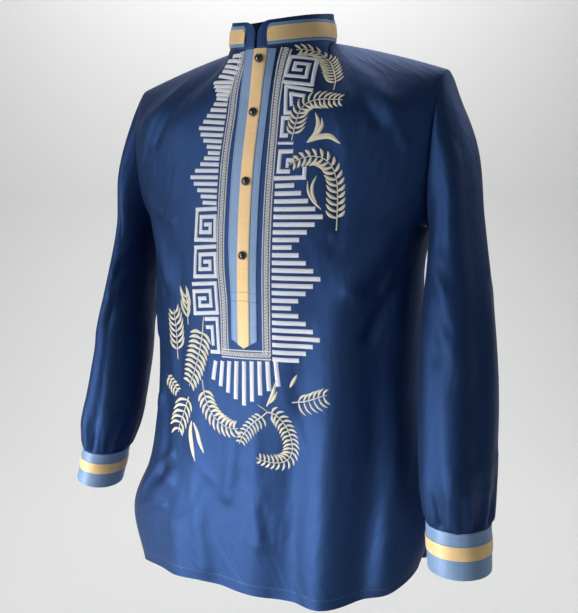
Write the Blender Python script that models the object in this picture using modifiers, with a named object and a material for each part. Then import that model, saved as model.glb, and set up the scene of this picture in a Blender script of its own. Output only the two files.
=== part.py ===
"""A long sleeved barong shirt with a stand collar and a half placket, filled out as it is worn, with no wearer.

Each cut piece is a thin wall of cloth. It runs through sections that are worked out from the garment's
sizes, and the pieces meet at their seams with a small gap. The origin is at the middle of the neck, level
with the shoulder line. The front faces -Y and the wearer's left is at +X. All sizes are in metres.
"""

import math
from collections import namedtuple

import bmesh
import bpy
import numpy as np

# Cloth and seams
CLOTH = 0.0015
CUFF_CLOTH = 0.0024
UNDER_ARM_MITRE = 1.2
RIBBON = 0.0009
SEAM_GAP = 0.0003
LIFT = 0.0004

# How many steps each piece is divided into
LOW_STEPS = 21
ARM_STEPS = 12
SHOULDER_STEPS = 8
NECK_FRONT_STEPS = 16
NECK_BACK_STEPS = 12
NECK_SHARE = 0.5
SLEEVE_STEPS = 20
PLACKET_STEPS = 24

# The neck opening and the shoulders
NECK_HALF = 0.074
NECK_FRONT = 0.074
NECK_BACK = 0.070
NECK_FRONT_DROP = 0.016
NECK_SIDE_DROP = 0.005
NECK_BACK_RISE = 0.010
TIP_X = 0.243
TIP_Z = -0.052
ARMPIT_X = 0.222
ARMPIT_Z = -0.250
ARMHOLE_FRONT = 0.040
ARMHOLE_BACK = 0.062
ARMHOLE_SWELL = 0.004

# Rings round the body below the armholes. Height is at the middle, and the two sides have their own, because
# the hem hangs a little askew. Seam is how far the right side seam lies ahead of the left one. Reach is how
# far a panel goes towards the side seam, where 1 meets it.
Level = namedtuple("Level", "name height right_z left_z right_x left_x front back seam front_reach back_reach")
BODY = (
    Level("hem", -0.783, -0.812, -0.722, 0.246, 0.226, 0.101, 0.112, -0.016, 0.92, 0.88),
    Level("slit_top", -0.708, -0.728, -0.660, 0.264, 0.238, 0.103, 0.114, -0.024, 1.0, 1.0),
    Level("hip", -0.610, -0.622, -0.590, 0.226, 0.226, 0.104, 0.114, -0.012, 1.0, 1.0),
    Level("waist", -0.490, -0.490, -0.490, 0.212, 0.212, 0.105, 0.108, 0.0, 1.0, 1.0),
    Level("ribs", -0.380, -0.380, -0.380, 0.211, 0.211, 0.107, 0.110, 0.0, 1.0, 1.0),
    Level("under_arm", -0.290, -0.290, -0.290, 0.213, 0.213, 0.107, 0.113, 0.0, 1.0, 1.0),
    Level("armpit", -0.250, ARMPIT_Z, ARMPIT_Z, ARMPIT_X, ARMPIT_X, 0.105, 0.114, 0.0, 1.0, 1.0),
)

SQUARENESS = 0.85

# Sections between the two armholes. Along is the place on the armhole, from armpit 0 to shoulder tip 1.
# Flat is how flat the section is across, and gather is how far its spacing is that of the neck.
Chest = namedtuple("Chest", "name along height front back flat gather")
CHEST = (
    Chest("chest", 0.36, -0.172, 0.098, 0.116, 0.62, 0.2),
    Chest("collarbone", 0.70, -0.090, 0.084, 0.103, 0.80, 0.55),
)

# The height that stands for the neckline and shoulder line, and how steeply a panel comes up to them
PANEL_TOP = -0.015
OVER_SHOULDER = (0.68, 0.21)
INTO_NECK = (0.21, 1.0)
NECK_EASE_FROM = 0.20
NECK_EASE_TO = 0.57
TOP_FADE = 0.07

# Rings of each sleeve, from the armhole to the cuff, as loops through an inner and an outer point. The arms
# hang a little differently, so each has its own rows, with x measured out from the middle of the body.
Ring = namedtuple("Ring", "name inner_x inner_z outer_x outer_z middle_y half_y")
SLEEVES = {
    "left": (
        Ring("cap", 0.2300, -0.2600, 0.2500, -0.0740, 0.006, 0.052),
        Ring("bicep", 0.2330, -0.2760, 0.2770, -0.1400, 0.001, 0.059),
        Ring("upper", 0.2340, -0.3060, 0.2950, -0.2350, -0.014, 0.059),
        Ring("elbow", 0.2370, -0.3560, 0.3200, -0.3430, -0.042, 0.056),
        Ring("forearm", 0.2450, -0.4850, 0.3380, -0.4850, -0.066, 0.064),
        Ring("wrist", 0.2550, -0.5830, 0.3390, -0.5860, -0.077, 0.052),
        Ring("cuff_edge", 0.2625, -0.6137, 0.3385, -0.6132, -0.081, 0.041),
    ),
    "right": (
        Ring("cap", 0.2300, -0.2600, 0.2570, -0.0740, 0.009, 0.054),
        Ring("bicep", 0.2330, -0.2760, 0.2740, -0.1400, 0.003, 0.058),
        Ring("upper", 0.2340, -0.3060, 0.2735, -0.2350, -0.006, 0.056),
        Ring("elbow", 0.2350, -0.3560, 0.2760, -0.3430, -0.033, 0.054),
        Ring("forearm", 0.2280, -0.4850, 0.2940, -0.4850, -0.060, 0.057),
        Ring("wrist", 0.2380, -0.5780, 0.3105, -0.5750, -0.075, 0.049),
        Ring("cuff_edge", 0.2515, -0.6137, 0.3095, -0.6042, -0.081, 0.0400),
    ),
}
CUFFS = {
    "left": (
        Ring("cuff_top", 0.2620, -0.6140, 0.3390, -0.6135, -0.0810, 0.0415),
        Ring("cuff_bottom", 0.2680, -0.6700, 0.3435, -0.6705, -0.0868, 0.0410),
    ),
    "right": (
        Ring("cuff_top", 0.2510, -0.6140, 0.3100, -0.6045, -0.0810, 0.0405),
        Ring("cuff_bottom", 0.2620, -0.6690, 0.3190, -0.6520, -0.0870, 0.0400),
    ),
}
SIDES = {"left": 1, "right": -1}

# The gold ribbon on a cuff, as shares of the cuff's height from its top
CUFF_BAND_TOP = 0.29
CUFF_BAND_BOTTOM = 0.58

# The largest folds. On a panel each runs between two places given by x and z. On a sleeve x is the place
# round it, in turns from the armpit by the front, and z the height. Depth is out from the cloth.
Fold = namedtuple("Fold", "piece x1 z1 x2 z2 width depth")
FOLDS = (
    Fold("front", 0.140, -0.300, 0.112, -0.800, 0.030, 0.014),
    Fold("front", 0.060, -0.560, 0.045, -0.800, 0.026, -0.007),
    Fold("front", -0.120, -0.620, -0.135, -0.800, 0.030, 0.008),
    Fold("front", -0.050, -0.660, -0.055, -0.800, 0.028, -0.005),
    Fold("front", 0.205, -0.235, 0.150, -0.330, 0.016, 0.007),
    Fold("front", -0.200, -0.230, -0.150, -0.330, 0.016, 0.007),
    Fold("front", -0.215, -0.700, -0.150, -0.640, 0.014, 0.006),
    Fold("front", -0.110, -0.028, -0.205, -0.110, 0.014, 0.004),
    Fold("front", 0.110, -0.030, 0.200, -0.105, 0.014, 0.004),
    Fold("back", 0.100, -0.300, 0.120, -0.800, 0.034, 0.010),
    Fold("back", -0.100, -0.300, -0.125, -0.800, 0.034, 0.010),
    Fold("back", 0.000, -0.420, 0.010, -0.800, 0.040, -0.010),
    Fold("back", 0.200, -0.240, 0.130, -0.340, 0.018, 0.008),
    Fold("back", -0.200, -0.240, -0.130, -0.340, 0.018, 0.008),
    Fold("sleeve", 0.20, -0.300, 0.34, -0.420, 0.016, 0.003),
    Fold("sleeve", 0.10, -0.350, 0.22, -0.400, 0.014, -0.003),
    Fold("sleeve", 0.33, -0.120, 0.31, -0.560, 0.016, 0.004),
    Fold("sleeve", 0.62, -0.330, 0.80, -0.390, 0.016, 0.006),
    Fold("sleeve", 0.30, -0.610, 0.30, -0.540, 0.010, 0.005),
    Fold("sleeve", 0.42, -0.612, 0.43, -0.550, 0.009, -0.004),
    Fold("sleeve", 0.54, -0.612, 0.53, -0.530, 0.010, 0.005),
    Fold("sleeve", 0.72, -0.612, 0.71, -0.540, 0.010, 0.005),
    Fold("sleeve", 0.90, -0.612, 0.90, -0.550, 0.010, 0.004),
    Fold("sleeve", 0.14, -0.612, 0.15, -0.550, 0.010, 0.004),
)
SLEEVE_ROUND = 0.34

# Collar
COLLAR_CLOTH = 0.0022
COLLAR_FRONT_HEIGHT = 0.034
COLLAR_BACK_HEIGHT = 0.039
COLLAR_LEAN = 0.10
COLLAR_GAP = 0.0045
COLLAR_ROUNDING = 0.020
COLLAR_STEPS = 44
PANEL_FOOT = 0.0012
PANEL_HEIGHT = 0.028
PANEL_INSET = 0.016
PANEL_ROUNDING = 0.008
BAND_FOOT = 0.0055
BAND_HEIGHT = 0.0190

# Placket and buttons, measured down the cloth from the neck. At the top the placket leans to the left.
PLACKET_LEAN = 0.0095
LEAN_LENGTH = 0.340
PLACKET_TOP = 0.0012
PLACKET_HALF = 0.0205
PLACKET_WIDE = 0.0250
NARROWS_FROM = 0.260
NARROWS_TO = 0.340
PLACKET_LENGTH = 0.405
POINT_HEIGHT = 0.011
TIP_HALF = 0.0006
STRIPE_HALF = 0.0095
SLIT_LENGTH = 0.320
SLIT_WIDTH = 0.0006
SLIT_TOP = 0.012
SLIT_FROM_Y = -0.160
SLIT_TO_Y = -0.040
BUTTONS = (0.0150, 0.0860, 0.178, 0.277)
BUTTON_PROFILE = ((0.0, 0.0044), (0.0028, 0.0040), (0.0048, 0.0030), (0.0060, 0.0014), (0.0056, 0.0))
BUTTON_SIDES = 16

# Colour, roughness and metallic of each finish
NAVY = ((0.020, 0.045, 0.150), 0.35, 0.0)
LIGHT_BLUE = ((0.210, 0.370, 0.640), 0.55, 0.0)
GOLD = ((0.860, 0.580, 0.290), 0.50, 0.0)
DARK = ((0.010, 0.010, 0.018), 0.15, 0.0)


# Arrays of points
def unit(vectors):
    return vectors / np.maximum(np.linalg.norm(vectors, axis=-1, keepdims=True), 1e-12)


def spline(rows, knots, at, last_slope=None):
    """A smooth curve through the rows of points, which are at these knots, read at the given places."""
    knots = np.asarray(knots, float)
    steps = np.diff(knots)
    rises = np.diff(rows, axis=0) / steps[:, None, None]
    slopes = np.empty_like(rows)
    slopes[0], slopes[-1] = rises[0], rises[-1]
    before, after = steps[:-1, None, None], steps[1:, None, None]
    slopes[1:-1] = (rises[:-1] * after + rises[1:] * before) / (before + after)
    if last_slope is not None:
        slopes[-1] = last_slope
    i = np.clip(np.searchsorted(knots, at, side="right") - 1, 0, len(steps) - 1)
    step = steps[i][:, None, None]
    t = ((np.asarray(at) - knots[i]) / steps[i])[:, None, None]
    start, end = rows[i], rows[i + 1]
    return (
        start * (1 + 2 * t) * (1 - t) ** 2
        + end * t**2 * (3 - 2 * t)
        + slopes[i] * step * t * (1 - t) ** 2
        + slopes[i + 1] * step * t**2 * (t - 1)
    )


def surface_normals(points, closed=False):
    """A unit normal at each point of a grid, turned away from the middle of its row."""
    if closed:
        across = np.roll(points, -1, axis=1) - np.roll(points, 1, axis=1)
    else:
        across = np.gradient(points, axis=1)
    normals = unit(np.cross(across, np.gradient(points, axis=0)))
    outward = points - (points.mean(axis=1, keepdims=True) * (1 if closed else 0))
    outward[..., 2] = 0
    return normals * np.sign((normals * outward).sum())


def ridge(x, z, fold):
    """How far a fold lifts the cloth at these places: a soft ridge along its line, round at the ends."""
    run, rise = fold.x2 - fold.x1, fold.z2 - fold.z1
    along = ((x - fold.x1) * run + (z - fold.z1) * rise) / (run**2 + rise**2)
    along = np.clip(along, 0.0, 1.0)
    away = np.hypot(x - fold.x1 - along * run, z - fold.z1 - along * rise)
    return fold.depth * (0.35 + 0.65 * along) * np.exp(-((away / fold.width) ** 2))


# The front and back panels
def armhole_point(along, side, facing):
    """A point of the armhole seam, from armpit 0 to shoulder tip 1. Side is +1 on the left."""
    x = ARMPIT_X + (TIP_X - ARMPIT_X) * along + ARMHOLE_SWELL * math.sin(math.pi * along)
    depth = ARMHOLE_FRONT if facing < 0 else ARMHOLE_BACK
    y = facing * depth * math.sin(math.pi * along)
    z = ARMPIT_Z + (TIP_Z - ARMPIT_Z) * (1 - math.cos(math.pi * along)) / 2
    return np.array((side * x, y, z))


def neck_point(turn, facing):
    """A point of the neckline, from one side of the neck at -1 over the middle at 0 to the other at 1."""
    angle = turn * math.pi / 2
    middle_z = (-NECK_FRONT_DROP if facing < 0 else NECK_BACK_RISE) + NECK_SIDE_DROP
    depth = NECK_FRONT if facing < 0 else NECK_BACK
    y = facing * depth * np.cos(angle)
    z = middle_z * np.cos(angle) ** 1.5 - NECK_SIDE_DROP
    return np.stack([NECK_HALF * np.sin(angle), y, z], axis=-1)


def body_row(level, facing, places):
    """A ring's front or back half, where places run from -1 at the right side seam to 1 at the left."""
    reach = level.front_reach if facing < 0 else level.back_reach
    depth = level.front if facing < 0 else level.back
    angle = places * reach * math.pi / 2
    width = np.where(places < 0, level.right_x, level.left_x)
    side_z = np.where(places < 0, level.right_z, level.left_z)
    z = level.height + (side_z - level.height) * np.abs(places) ** 2
    y = facing * depth * np.cos(angle) ** SQUARENESS + level.seam * np.maximum(-places, 0) ** 3
    return np.stack([width * np.sin(angle), y, z], axis=-1)


def top_row(places, facing):
    """The neckline with a shoulder seam on each side of it."""
    beyond = np.clip((np.abs(places) - NECK_SHARE) / (1 - NECK_SHARE), 0, 1)
    neck = neck_point(np.clip(places / NECK_SHARE, -1, 1), facing)
    shoulder = np.stack(
        [
            np.sign(places) * (NECK_HALF + (TIP_X - NECK_HALF) * beyond),
            0 * places,
            -NECK_SIDE_DROP + (TIP_Z + NECK_SIDE_DROP) * (0.75 * beyond + 0.25 * beyond**2),
        ],
        axis=-1,
    )
    return np.where((np.abs(places) <= NECK_SHARE)[:, None], neck, shoulder)


def chest_row(station, facing, places):
    """A section of the chest or back between the armholes."""
    edge = armhole_point(station.along, 1, facing)
    top_x = top_row(places, facing)[:, 0] / TIP_X
    share = (1 - station.gather) * np.sin(places * math.pi / 2) + station.gather * top_x
    depth = facing * (station.front if facing < 0 else station.back)
    bow = np.maximum(1 - np.abs(share) ** 2.2, 0) ** station.flat
    y = edge[1] + (depth - edge[1]) * bow
    z = station.height + (edge[2] - station.height) * np.abs(share) ** 2
    return np.stack([edge[0] * share, y, z], axis=-1)


def panel(name, facing, places, low_at, arm_at):
    """The grid of a panel: rows from the hem up to the neck and shoulders, and places across."""
    rows = [body_row(level, facing, places) for level in BODY]
    rows += [chest_row(station, facing, places) for station in CHEST]
    rows.append(top_row(places, facing))
    knots = [row.height for row in BODY + CHEST] + [PANEL_TOP]
    low = knots[0] + (ARMPIT_Z - knots[0]) * low_at
    along = [0.0] + [station.along for station in CHEST] + [1.0]
    at = np.concatenate([low, np.interp(arm_at[1:], along, knots[len(BODY) - 1 :])])
    over_shoulder = np.array((0.0, -facing * OVER_SHOULDER[0], OVER_SHOULDER[1]))
    into_neck = np.array((0.0, -facing * INTO_NECK[0], INTO_NECK[1]))
    at_neck = np.clip((NECK_EASE_TO - np.abs(places)) / (NECK_EASE_TO - NECK_EASE_FROM), 0, 1)[:, None]
    grid = spline(np.array(rows), knots, at, into_neck * at_neck + over_shoulder * (1 - at_neck))
    for side, column in ((-1, 0), (1, -1)):
        edge = [armhole_point(along, side, facing) for along in arm_at]
        shift = np.array(edge) - grid[len(low_at) - 1 :, column]
        near_edge = np.clip((side * places - 0.6) / 0.4, 0, 1) ** 2
        grid[len(low_at) - 1 :] += shift[:, None, :] * near_edge[None, :, None]
    lift = sum(ridge(grid[..., 0], grid[..., 2], fold) for fold in FOLDS if fold.piece == name)
    fade = (1 - np.abs(places) ** 8)[None, :] * np.clip((PANEL_TOP - at) / TOP_FADE, 0, 1)[:, None]
    return grid + surface_normals(grid) * (lift * fade)[..., None]


def join_sides(front, back, rows):
    """Moves the two panels' side edges to the line halfway between them, in these rows."""
    for column, side in ((0, -1), (-1, 1)):
        seam = (front[rows, column] + back[rows, column]) / 2
        for grid, places in ((front, front_places), (back, back_places)):
            near_edge = np.clip((side * places - 0.6) / 0.4, 0, 1) ** 2
            grid[rows] += (seam - grid[rows, column])[:, None, :] * near_edge[None, :, None]


def evenly(count):
    return np.linspace(0.0, 1.0, count + 1)


def panel_places(neck_steps):
    """Places across a panel, with the same steps on each shoulder."""
    shoulder = NECK_SHARE + (1 - NECK_SHARE) * evenly(SHOULDER_STEPS)[1:]
    neck = NECK_SHARE * (2 * evenly(neck_steps) - 1)
    return np.concatenate([-shoulder[::-1], neck, shoulder])


# Sleeves and cuffs
def ring_points(ring, side, turns):
    """Points of a ring, where turns run from 0 at its inner point by the front to 1 behind."""
    angle = 2 * math.pi * turns
    inner = np.array((side * ring.inner_x, ring.middle_y, ring.inner_z))
    outer = np.array((side * ring.outer_x, ring.middle_y, ring.outer_z))
    across = (1 - np.cos(angle))[:, None] / 2
    return inner + (outer - inner) * across - np.outer(np.sin(angle) * ring.half_y, (0, 1, 0))


def sleeve(armhole, word):
    """The grid of a sleeve: loops from the armhole down to the cuff."""
    turns = evenly(2 * ARM_STEPS)[:-1]
    rows = np.array([armhole] + [ring_points(ring, SIDES[word], turns) for ring in SLEEVES[word]])
    lengths = np.linalg.norm(np.diff(rows, axis=0), axis=2).mean(axis=1)
    knots = np.concatenate([[0.0], np.cumsum(lengths)])
    grid = spline(rows, knots, knots[-1] * evenly(SLEEVE_STEPS))
    x, z = np.broadcast_to(turns, grid.shape[:2]) * SLEEVE_ROUND, grid[..., 2]
    lift = 0
    for fold in FOLDS:
        if fold.piece == "sleeve":
            lift = lift + ridge(x, z, fold._replace(x1=fold.x1 * SLEEVE_ROUND, x2=fold.x2 * SLEEVE_ROUND))
    fade = np.clip(10 * evenly(SLEEVE_STEPS), 0, 1) * np.clip(24 * (1 - evenly(SLEEVE_STEPS)), 0, 1)
    return grid + surface_normals(grid, True) * (lift * fade[:, None])[..., None]


def cuff_rows(word, shares):
    """Loops of a cuff at these shares of its height from the top."""
    turns = evenly(2 * ARM_STEPS)[:-1]
    top, bottom = (ring_points(ring, SIDES[word], turns) for ring in CUFFS[word])
    return np.array([top + (bottom - top) * share for share in shares])


# Making an object from a wall
def give_material(mesh, look):
    """A new material on this mesh, of one plain colour."""
    colour, roughness, metallic = look
    material = bpy.data.materials.new(mesh.name)
    material.use_nodes = True
    surface = material.node_tree.nodes["Principled BSDF"]
    surface.inputs["Base Color"].default_value = (*colour, 1.0)
    surface.inputs["Roughness"].default_value = roughness
    surface.inputs["Metallic"].default_value = metallic
    mesh.materials.append(material)


def finish(name, mesh_data, look):
    """A new object with its own material, from points and faces of a closed wall."""
    mesh = bpy.data.meshes.new(name)
    mesh.from_pydata([tuple(point) for point in mesh_data[0]], [], mesh_data[1])
    shaped = bmesh.new()
    shaped.from_mesh(mesh)
    bmesh.ops.recalc_face_normals(shaped, faces=shaped.faces)
    shaped.to_mesh(mesh)
    shaped.free()
    mesh.shade_smooth()
    mesh.set_sharp_from_angle(angle=math.radians(50))
    give_material(mesh, look)
    shirt.objects.link(bpy.data.objects.new(name, mesh))


def wall(inner, outer, closed=False):
    """Points and faces of the closed wall between two grids of points."""
    rows, columns = inner.shape[:2]
    points = np.concatenate([inner.reshape(-1, 3), outer.reshape(-1, 3)])
    behind = rows * columns
    faces = []
    for i in range(rows - 1):
        for j in range(columns if closed else columns - 1):
            k = (j + 1) % columns
            corners = [i * columns + j, i * columns + k, (i + 1) * columns + k, (i + 1) * columns + j]
            faces.append(corners)
            faces.append([behind + corner for corner in reversed(corners)])
    rims = []
    for i in (0, rows - 1):
        line = [i * columns + j for j in range(columns)]
        rims.append(line + line[:1] if closed else line)
    if not closed:
        rims += [[i * columns + j for i in range(rows)] for j in (0, columns - 1)]
    for line in rims:
        faces += [[a, b, behind + b, behind + a] for a, b in zip(line, line[1:])]
    return points, faces


def pulled_back(points, closed=False):
    """The grid with its edges drawn in by half of the seam's gap."""
    drawn = points.copy()
    drawn[0] += unit(points[1] - points[0]) * SEAM_GAP / 2
    drawn[-1] += unit(points[-2] - points[-1]) * SEAM_GAP / 2
    if not closed:
        drawn[:, 0] += unit(points[:, 1] - points[:, 0]) * SEAM_GAP / 2
        drawn[:, -1] += unit(points[:, -2] - points[:, -1]) * SEAM_GAP / 2
    return drawn


def armhole_outward(points):
    """Outward at each point of an armhole, in its plane, and longer under the arm, where the walls part
    at a small angle."""
    outward = points - points.mean(axis=0)
    outward[:, 0] = 0
    outward = unit(outward)
    return outward * (1 + UNDER_ARM_MITRE * np.maximum(-outward[:, 2:], 0) ** 6)


def share(*edges):
    """Gives each piece at a seam the same normals there, so that their walls end on one line."""
    together = unit(sum(normals[index] for normals, index in edges))
    for normals, index in edges:
        normals[index] = together


# The front as a chart of its cloth, on which the placket and the buttons are laid
CHART_STEP = 0.004
CHART_HALF = 0.060
CHART_FOOT_Z = -0.600


def front_chart():
    """Points of the front at each distance down the cloth from the neck and across from the middle."""
    places = np.linspace(-1, 1, 161)
    grid = panel("front", -1, places, evenly(90), evenly(90))
    wide = np.arange(-CHART_HALF, CHART_HALF + CHART_STEP / 2, CHART_STEP)
    columns = np.array([[[np.interp(x, row[:, 0], row[:, k]) for k in range(3)] for row in grid] for x in wide])
    deep = np.arange(0.0, PLACKET_LENGTH + 0.05, CHART_STEP)
    middle = len(wide) // 2
    full = None
    chart = np.empty((len(deep), len(wide), 3))
    for j in [middle] + [j for j in range(len(wide)) if j != middle]:
        column = columns[j]
        lengths = np.concatenate([[0.0], np.cumsum(np.linalg.norm(np.diff(column, axis=0), axis=1))])
        lengths -= np.interp(CHART_FOOT_Z, column[:, 2], lengths)
        full = lengths[-1] if full is None else full
        for k in range(3):
            chart[:, j, k] = np.interp(full - deep, lengths, column[:, k])
    return chart


def on_front(across, down, out):
    """Points of the front cloth at these distances from the placket's middle and the neck, moved out from it."""
    lean = PLACKET_LEAN * np.clip(1 - down / LEAN_LENGTH, 0, 1) ** 2
    column = np.clip((across + lean + CHART_HALF) / CHART_STEP, 0, chart.shape[1] - 1.001)
    row = np.clip(down / CHART_STEP, 0, chart.shape[0] - 1.001)
    i, j = row.astype(int), column.astype(int)
    a, b = (row - i)[..., None], (column - j)[..., None]
    found = []
    for values in (chart, chart_normals):
        upper = values[i, j] * (1 - b) + values[i, j + 1] * b
        lower = values[i + 1, j] * (1 - b) + values[i + 1, j + 1] * b
        found.append(upper * (1 - a) + lower * a)
    return found[0] + unit(found[1]) * out


def strip_on_front(half, wide, steps_across, out, thickness):
    """A strip down the middle of the front with a pointed foot, as the wall between two grids. It reaches half
    to the left, and as far as wide to the right, high up."""
    corner = PLACKET_LENGTH - POINT_HEIGHT * half / PLACKET_HALF
    down = np.append(np.linspace(PLACKET_TOP, corner, PLACKET_STEPS), PLACKET_LENGTH)
    left = np.append(np.full(PLACKET_STEPS, half), TIP_HALF)
    right = np.append(np.interp(down[:-1], (NARROWS_FROM, NARROWS_TO), (wide, half)), TIP_HALF)
    shares = np.linspace(-1, 1, steps_across + 1)
    across = np.outer(left, np.maximum(shares, 0)) - np.outer(right, np.maximum(-shares, 0))
    down = np.broadcast_to(down[:, None], across.shape)
    return on_front(across, down, out), on_front(across, down, out + thickness)


# Start from an empty scene
for old in list(bpy.data.objects):
    bpy.data.objects.remove(old)
shirt = bpy.data.collections.new("barong_shirt")
bpy.context.scene.collection.children.link(shirt)
cutters = bpy.data.collections.new("cutters")
bpy.context.scene.collection.children.link(cutters)

# Panels and sleeves share their seam points, and then the normals there
low_at, arm_at = evenly(LOW_STEPS), evenly(ARM_STEPS)
front_places, back_places = panel_places(NECK_FRONT_STEPS), panel_places(NECK_BACK_STEPS)
front = panel("front", -1, front_places, low_at, arm_at)
back = panel("back", 1, back_places, low_at, arm_at)
slit_row = math.ceil(LOW_STEPS * (BODY[1].height - BODY[0].height) / (ARMPIT_Z - BODY[0].height))
join_sides(front, back, slice(slit_row, LOW_STEPS))
front_normals, back_normals = surface_normals(front), surface_normals(back)
for first in (1, -SHOULDER_STEPS - 1):
    shoulder = (-1, slice(first, first + SHOULDER_STEPS))
    share((front_normals, shoulder), (back_normals, shoulder))
sleeves, sleeve_normals = {}, {}
for word, side in SIDES.items():
    column = -1 if side > 0 else 0
    seam = (slice(slit_row, LOW_STEPS), column)
    share((front_normals, seam), (back_normals, seam))
    up_front, down_back = front[LOW_STEPS:, column], back[LOW_STEPS:, column][-2:0:-1]
    armhole = np.concatenate([up_front, down_back])
    sleeves[word] = sleeve(armhole, word)
    sleeve_normals[word] = surface_normals(sleeves[word], True)
    outward = armhole_outward(armhole)
    sleeve_normals[word][0] = outward
    front_normals[LOW_STEPS:, column] = outward[: ARM_STEPS + 1]
    back_normals[LOW_STEPS:, column] = np.concatenate([outward[:1], outward[:ARM_STEPS - 1:-1]])

for name, points, normals in (("front", front, front_normals), ("back", back, back_normals)):
    inner = pulled_back(points)
    finish(name, wall(inner, inner + normals * CLOTH), NAVY)
for word in SIDES:
    inner = pulled_back(sleeves[word], True)
    finish(f"sleeve_{word}", wall(inner, inner + sleeve_normals[word] * CLOTH, True), NAVY)

    # The cuff is a doubled band, centred on the sleeve's wall, with the ribbon laid round it
    whole = cuff_rows(word, (0.0, 0.5, 1.0))
    outward = surface_normals(whole, True)
    inner = whole - outward * (CUFF_CLOTH - CLOTH) / 2
    inner[0] += unit(inner[1] - inner[0]) * SEAM_GAP
    finish(f"cuff_{word}", wall(inner, inner + outward * CUFF_CLOTH, True), LIGHT_BLUE)
    ribbon = cuff_rows(word, (CUFF_BAND_TOP, CUFF_BAND_BOTTOM))
    face = (CUFF_CLOTH + CLOTH) / 2 + LIFT
    ribbon_inner = ribbon + outward[:2] * face
    finish(f"cuff_band_{word}", wall(ribbon_inner, ribbon_inner + outward[:2] * RIBBON, True), GOLD)

# The front is slit down from the neck behind the placket
slit_foot = -NECK_FRONT_DROP - SLIT_LENGTH
bpy.ops.mesh.primitive_cube_add(size=1, location=(0, (SLIT_FROM_Y + SLIT_TO_Y) / 2, (SLIT_TOP + slit_foot) / 2))
slit = bpy.context.object
slit.name = "slit_cutter"
slit.scale = (SLIT_WIDTH, SLIT_TO_Y - SLIT_FROM_Y, SLIT_TOP - slit_foot)
for holder in list(slit.users_collection):
    holder.objects.unlink(slit)
cutters.objects.link(slit)
slit.hide_render = True
slit.display_type = "WIRE"
cut = bpy.data.objects["front"].modifiers.new("slit", "BOOLEAN")
cut.operation = "DIFFERENCE"
cut.object = slit


# Collar
def round_neck(turns):
    """Points of the neckline all round: turns run from 0 at the front by the left to 1 at the front again."""
    around = (np.asarray(turns) * 4 + 1) % 4 - 1
    ahead = neck_point(np.clip(np.where(around > 1, 1, around), -1, 1), -1)
    behind = neck_point(np.clip(2 - around, -1, 1), 1)
    return np.where((around <= 1)[:, None], ahead, behind)


def collar_grid(foot, height_at_front, height_at_back, inset, rounding, steps_up):
    """Points of the collar's line: rows from its foot up, along its length with rounded front ends."""
    even = round_neck(np.linspace(0, 1, 401))
    lengths = np.concatenate([[0.0], np.cumsum(np.linalg.norm(np.diff(even, axis=0), axis=1))])
    total = lengths[-1]
    near_end = rounding * (1 - np.cos(np.linspace(0, math.pi / 2, 7)))
    middle = np.linspace(rounding, total - 2 * (inset + COLLAR_GAP / 2) - rounding, COLLAR_STEPS - 12)
    full = total - 2 * (inset + COLLAR_GAP / 2)
    along = np.concatenate([near_end[:-1], middle, (full - near_end[:-1])[::-1]])
    turns = np.interp(along + inset + COLLAR_GAP / 2, lengths, np.linspace(0, 1, 401))
    base = round_neck(turns)
    tangent = unit(round_neck(turns + 0.002) - round_neck(turns - 0.002))
    outward = unit(np.cross(tangent, (0, 0, 1)))
    outward *= np.sign((outward * base).sum())
    up = unit(np.cross(outward, tangent) * np.sign(np.cross(outward, tangent)[:, 2:]) - COLLAR_LEAN * outward)
    from_end = np.minimum(along, full - along)
    behind = (1 - np.cos(2 * math.pi * turns)) / 2
    height = height_at_front + (height_at_back - height_at_front) * behind
    short = np.clip(1 - from_end / rounding, 0, 1)
    height = height - rounding * (1 - np.sqrt(np.maximum(1 - short**2, 0))) * 0.98
    shares = np.linspace(0, 1, steps_up + 1)[:, None, None]
    seat = base + up * (CLOTH + SEAM_GAP + foot)
    rows = seat[None] + up[None] * height[None, :, None] * shares
    face = unit(np.cross(up, tangent))
    face *= np.sign((face * outward).sum())
    return rows, np.broadcast_to(face, rows.shape)


band, face = collar_grid(0.0, COLLAR_FRONT_HEIGHT, COLLAR_BACK_HEIGHT, 0.0, COLLAR_ROUNDING, 3)
finish("collar", wall(band - face * COLLAR_CLOTH / 2, band + face * COLLAR_CLOTH / 2), NAVY)
strips = (
    ("collar_panel", PANEL_FOOT, PANEL_HEIGHT, COLLAR_CLOTH / 2 + LIFT, LIGHT_BLUE),
    ("collar_band", BAND_FOOT, BAND_HEIGHT, COLLAR_CLOTH / 2 + 2 * LIFT + RIBBON, GOLD),
)
for name, foot, height, out, look in strips:
    band, face = collar_grid(foot, height, height, PANEL_INSET, PANEL_ROUNDING, 2)
    finish(name, wall(band + face * out, band + face * (out + RIBBON)), look)

# Placket: a light blue strip with a gold ribbon down its middle, both pointed at the foot
chart = front_chart()
chart_normals = surface_normals(chart)
over_cloth = CLOTH + LIFT
inner, outer = strip_on_front(PLACKET_HALF, PLACKET_WIDE, 4, over_cloth, RIBBON)
finish("placket", wall(inner, outer), LIGHT_BLUE)
over_placket = over_cloth + RIBBON + LIFT
inner, outer = strip_on_front(STRIPE_HALF, STRIPE_HALF, 2, over_placket, RIBBON)
finish("placket_stripe", wall(inner, outer), GOLD)

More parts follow.
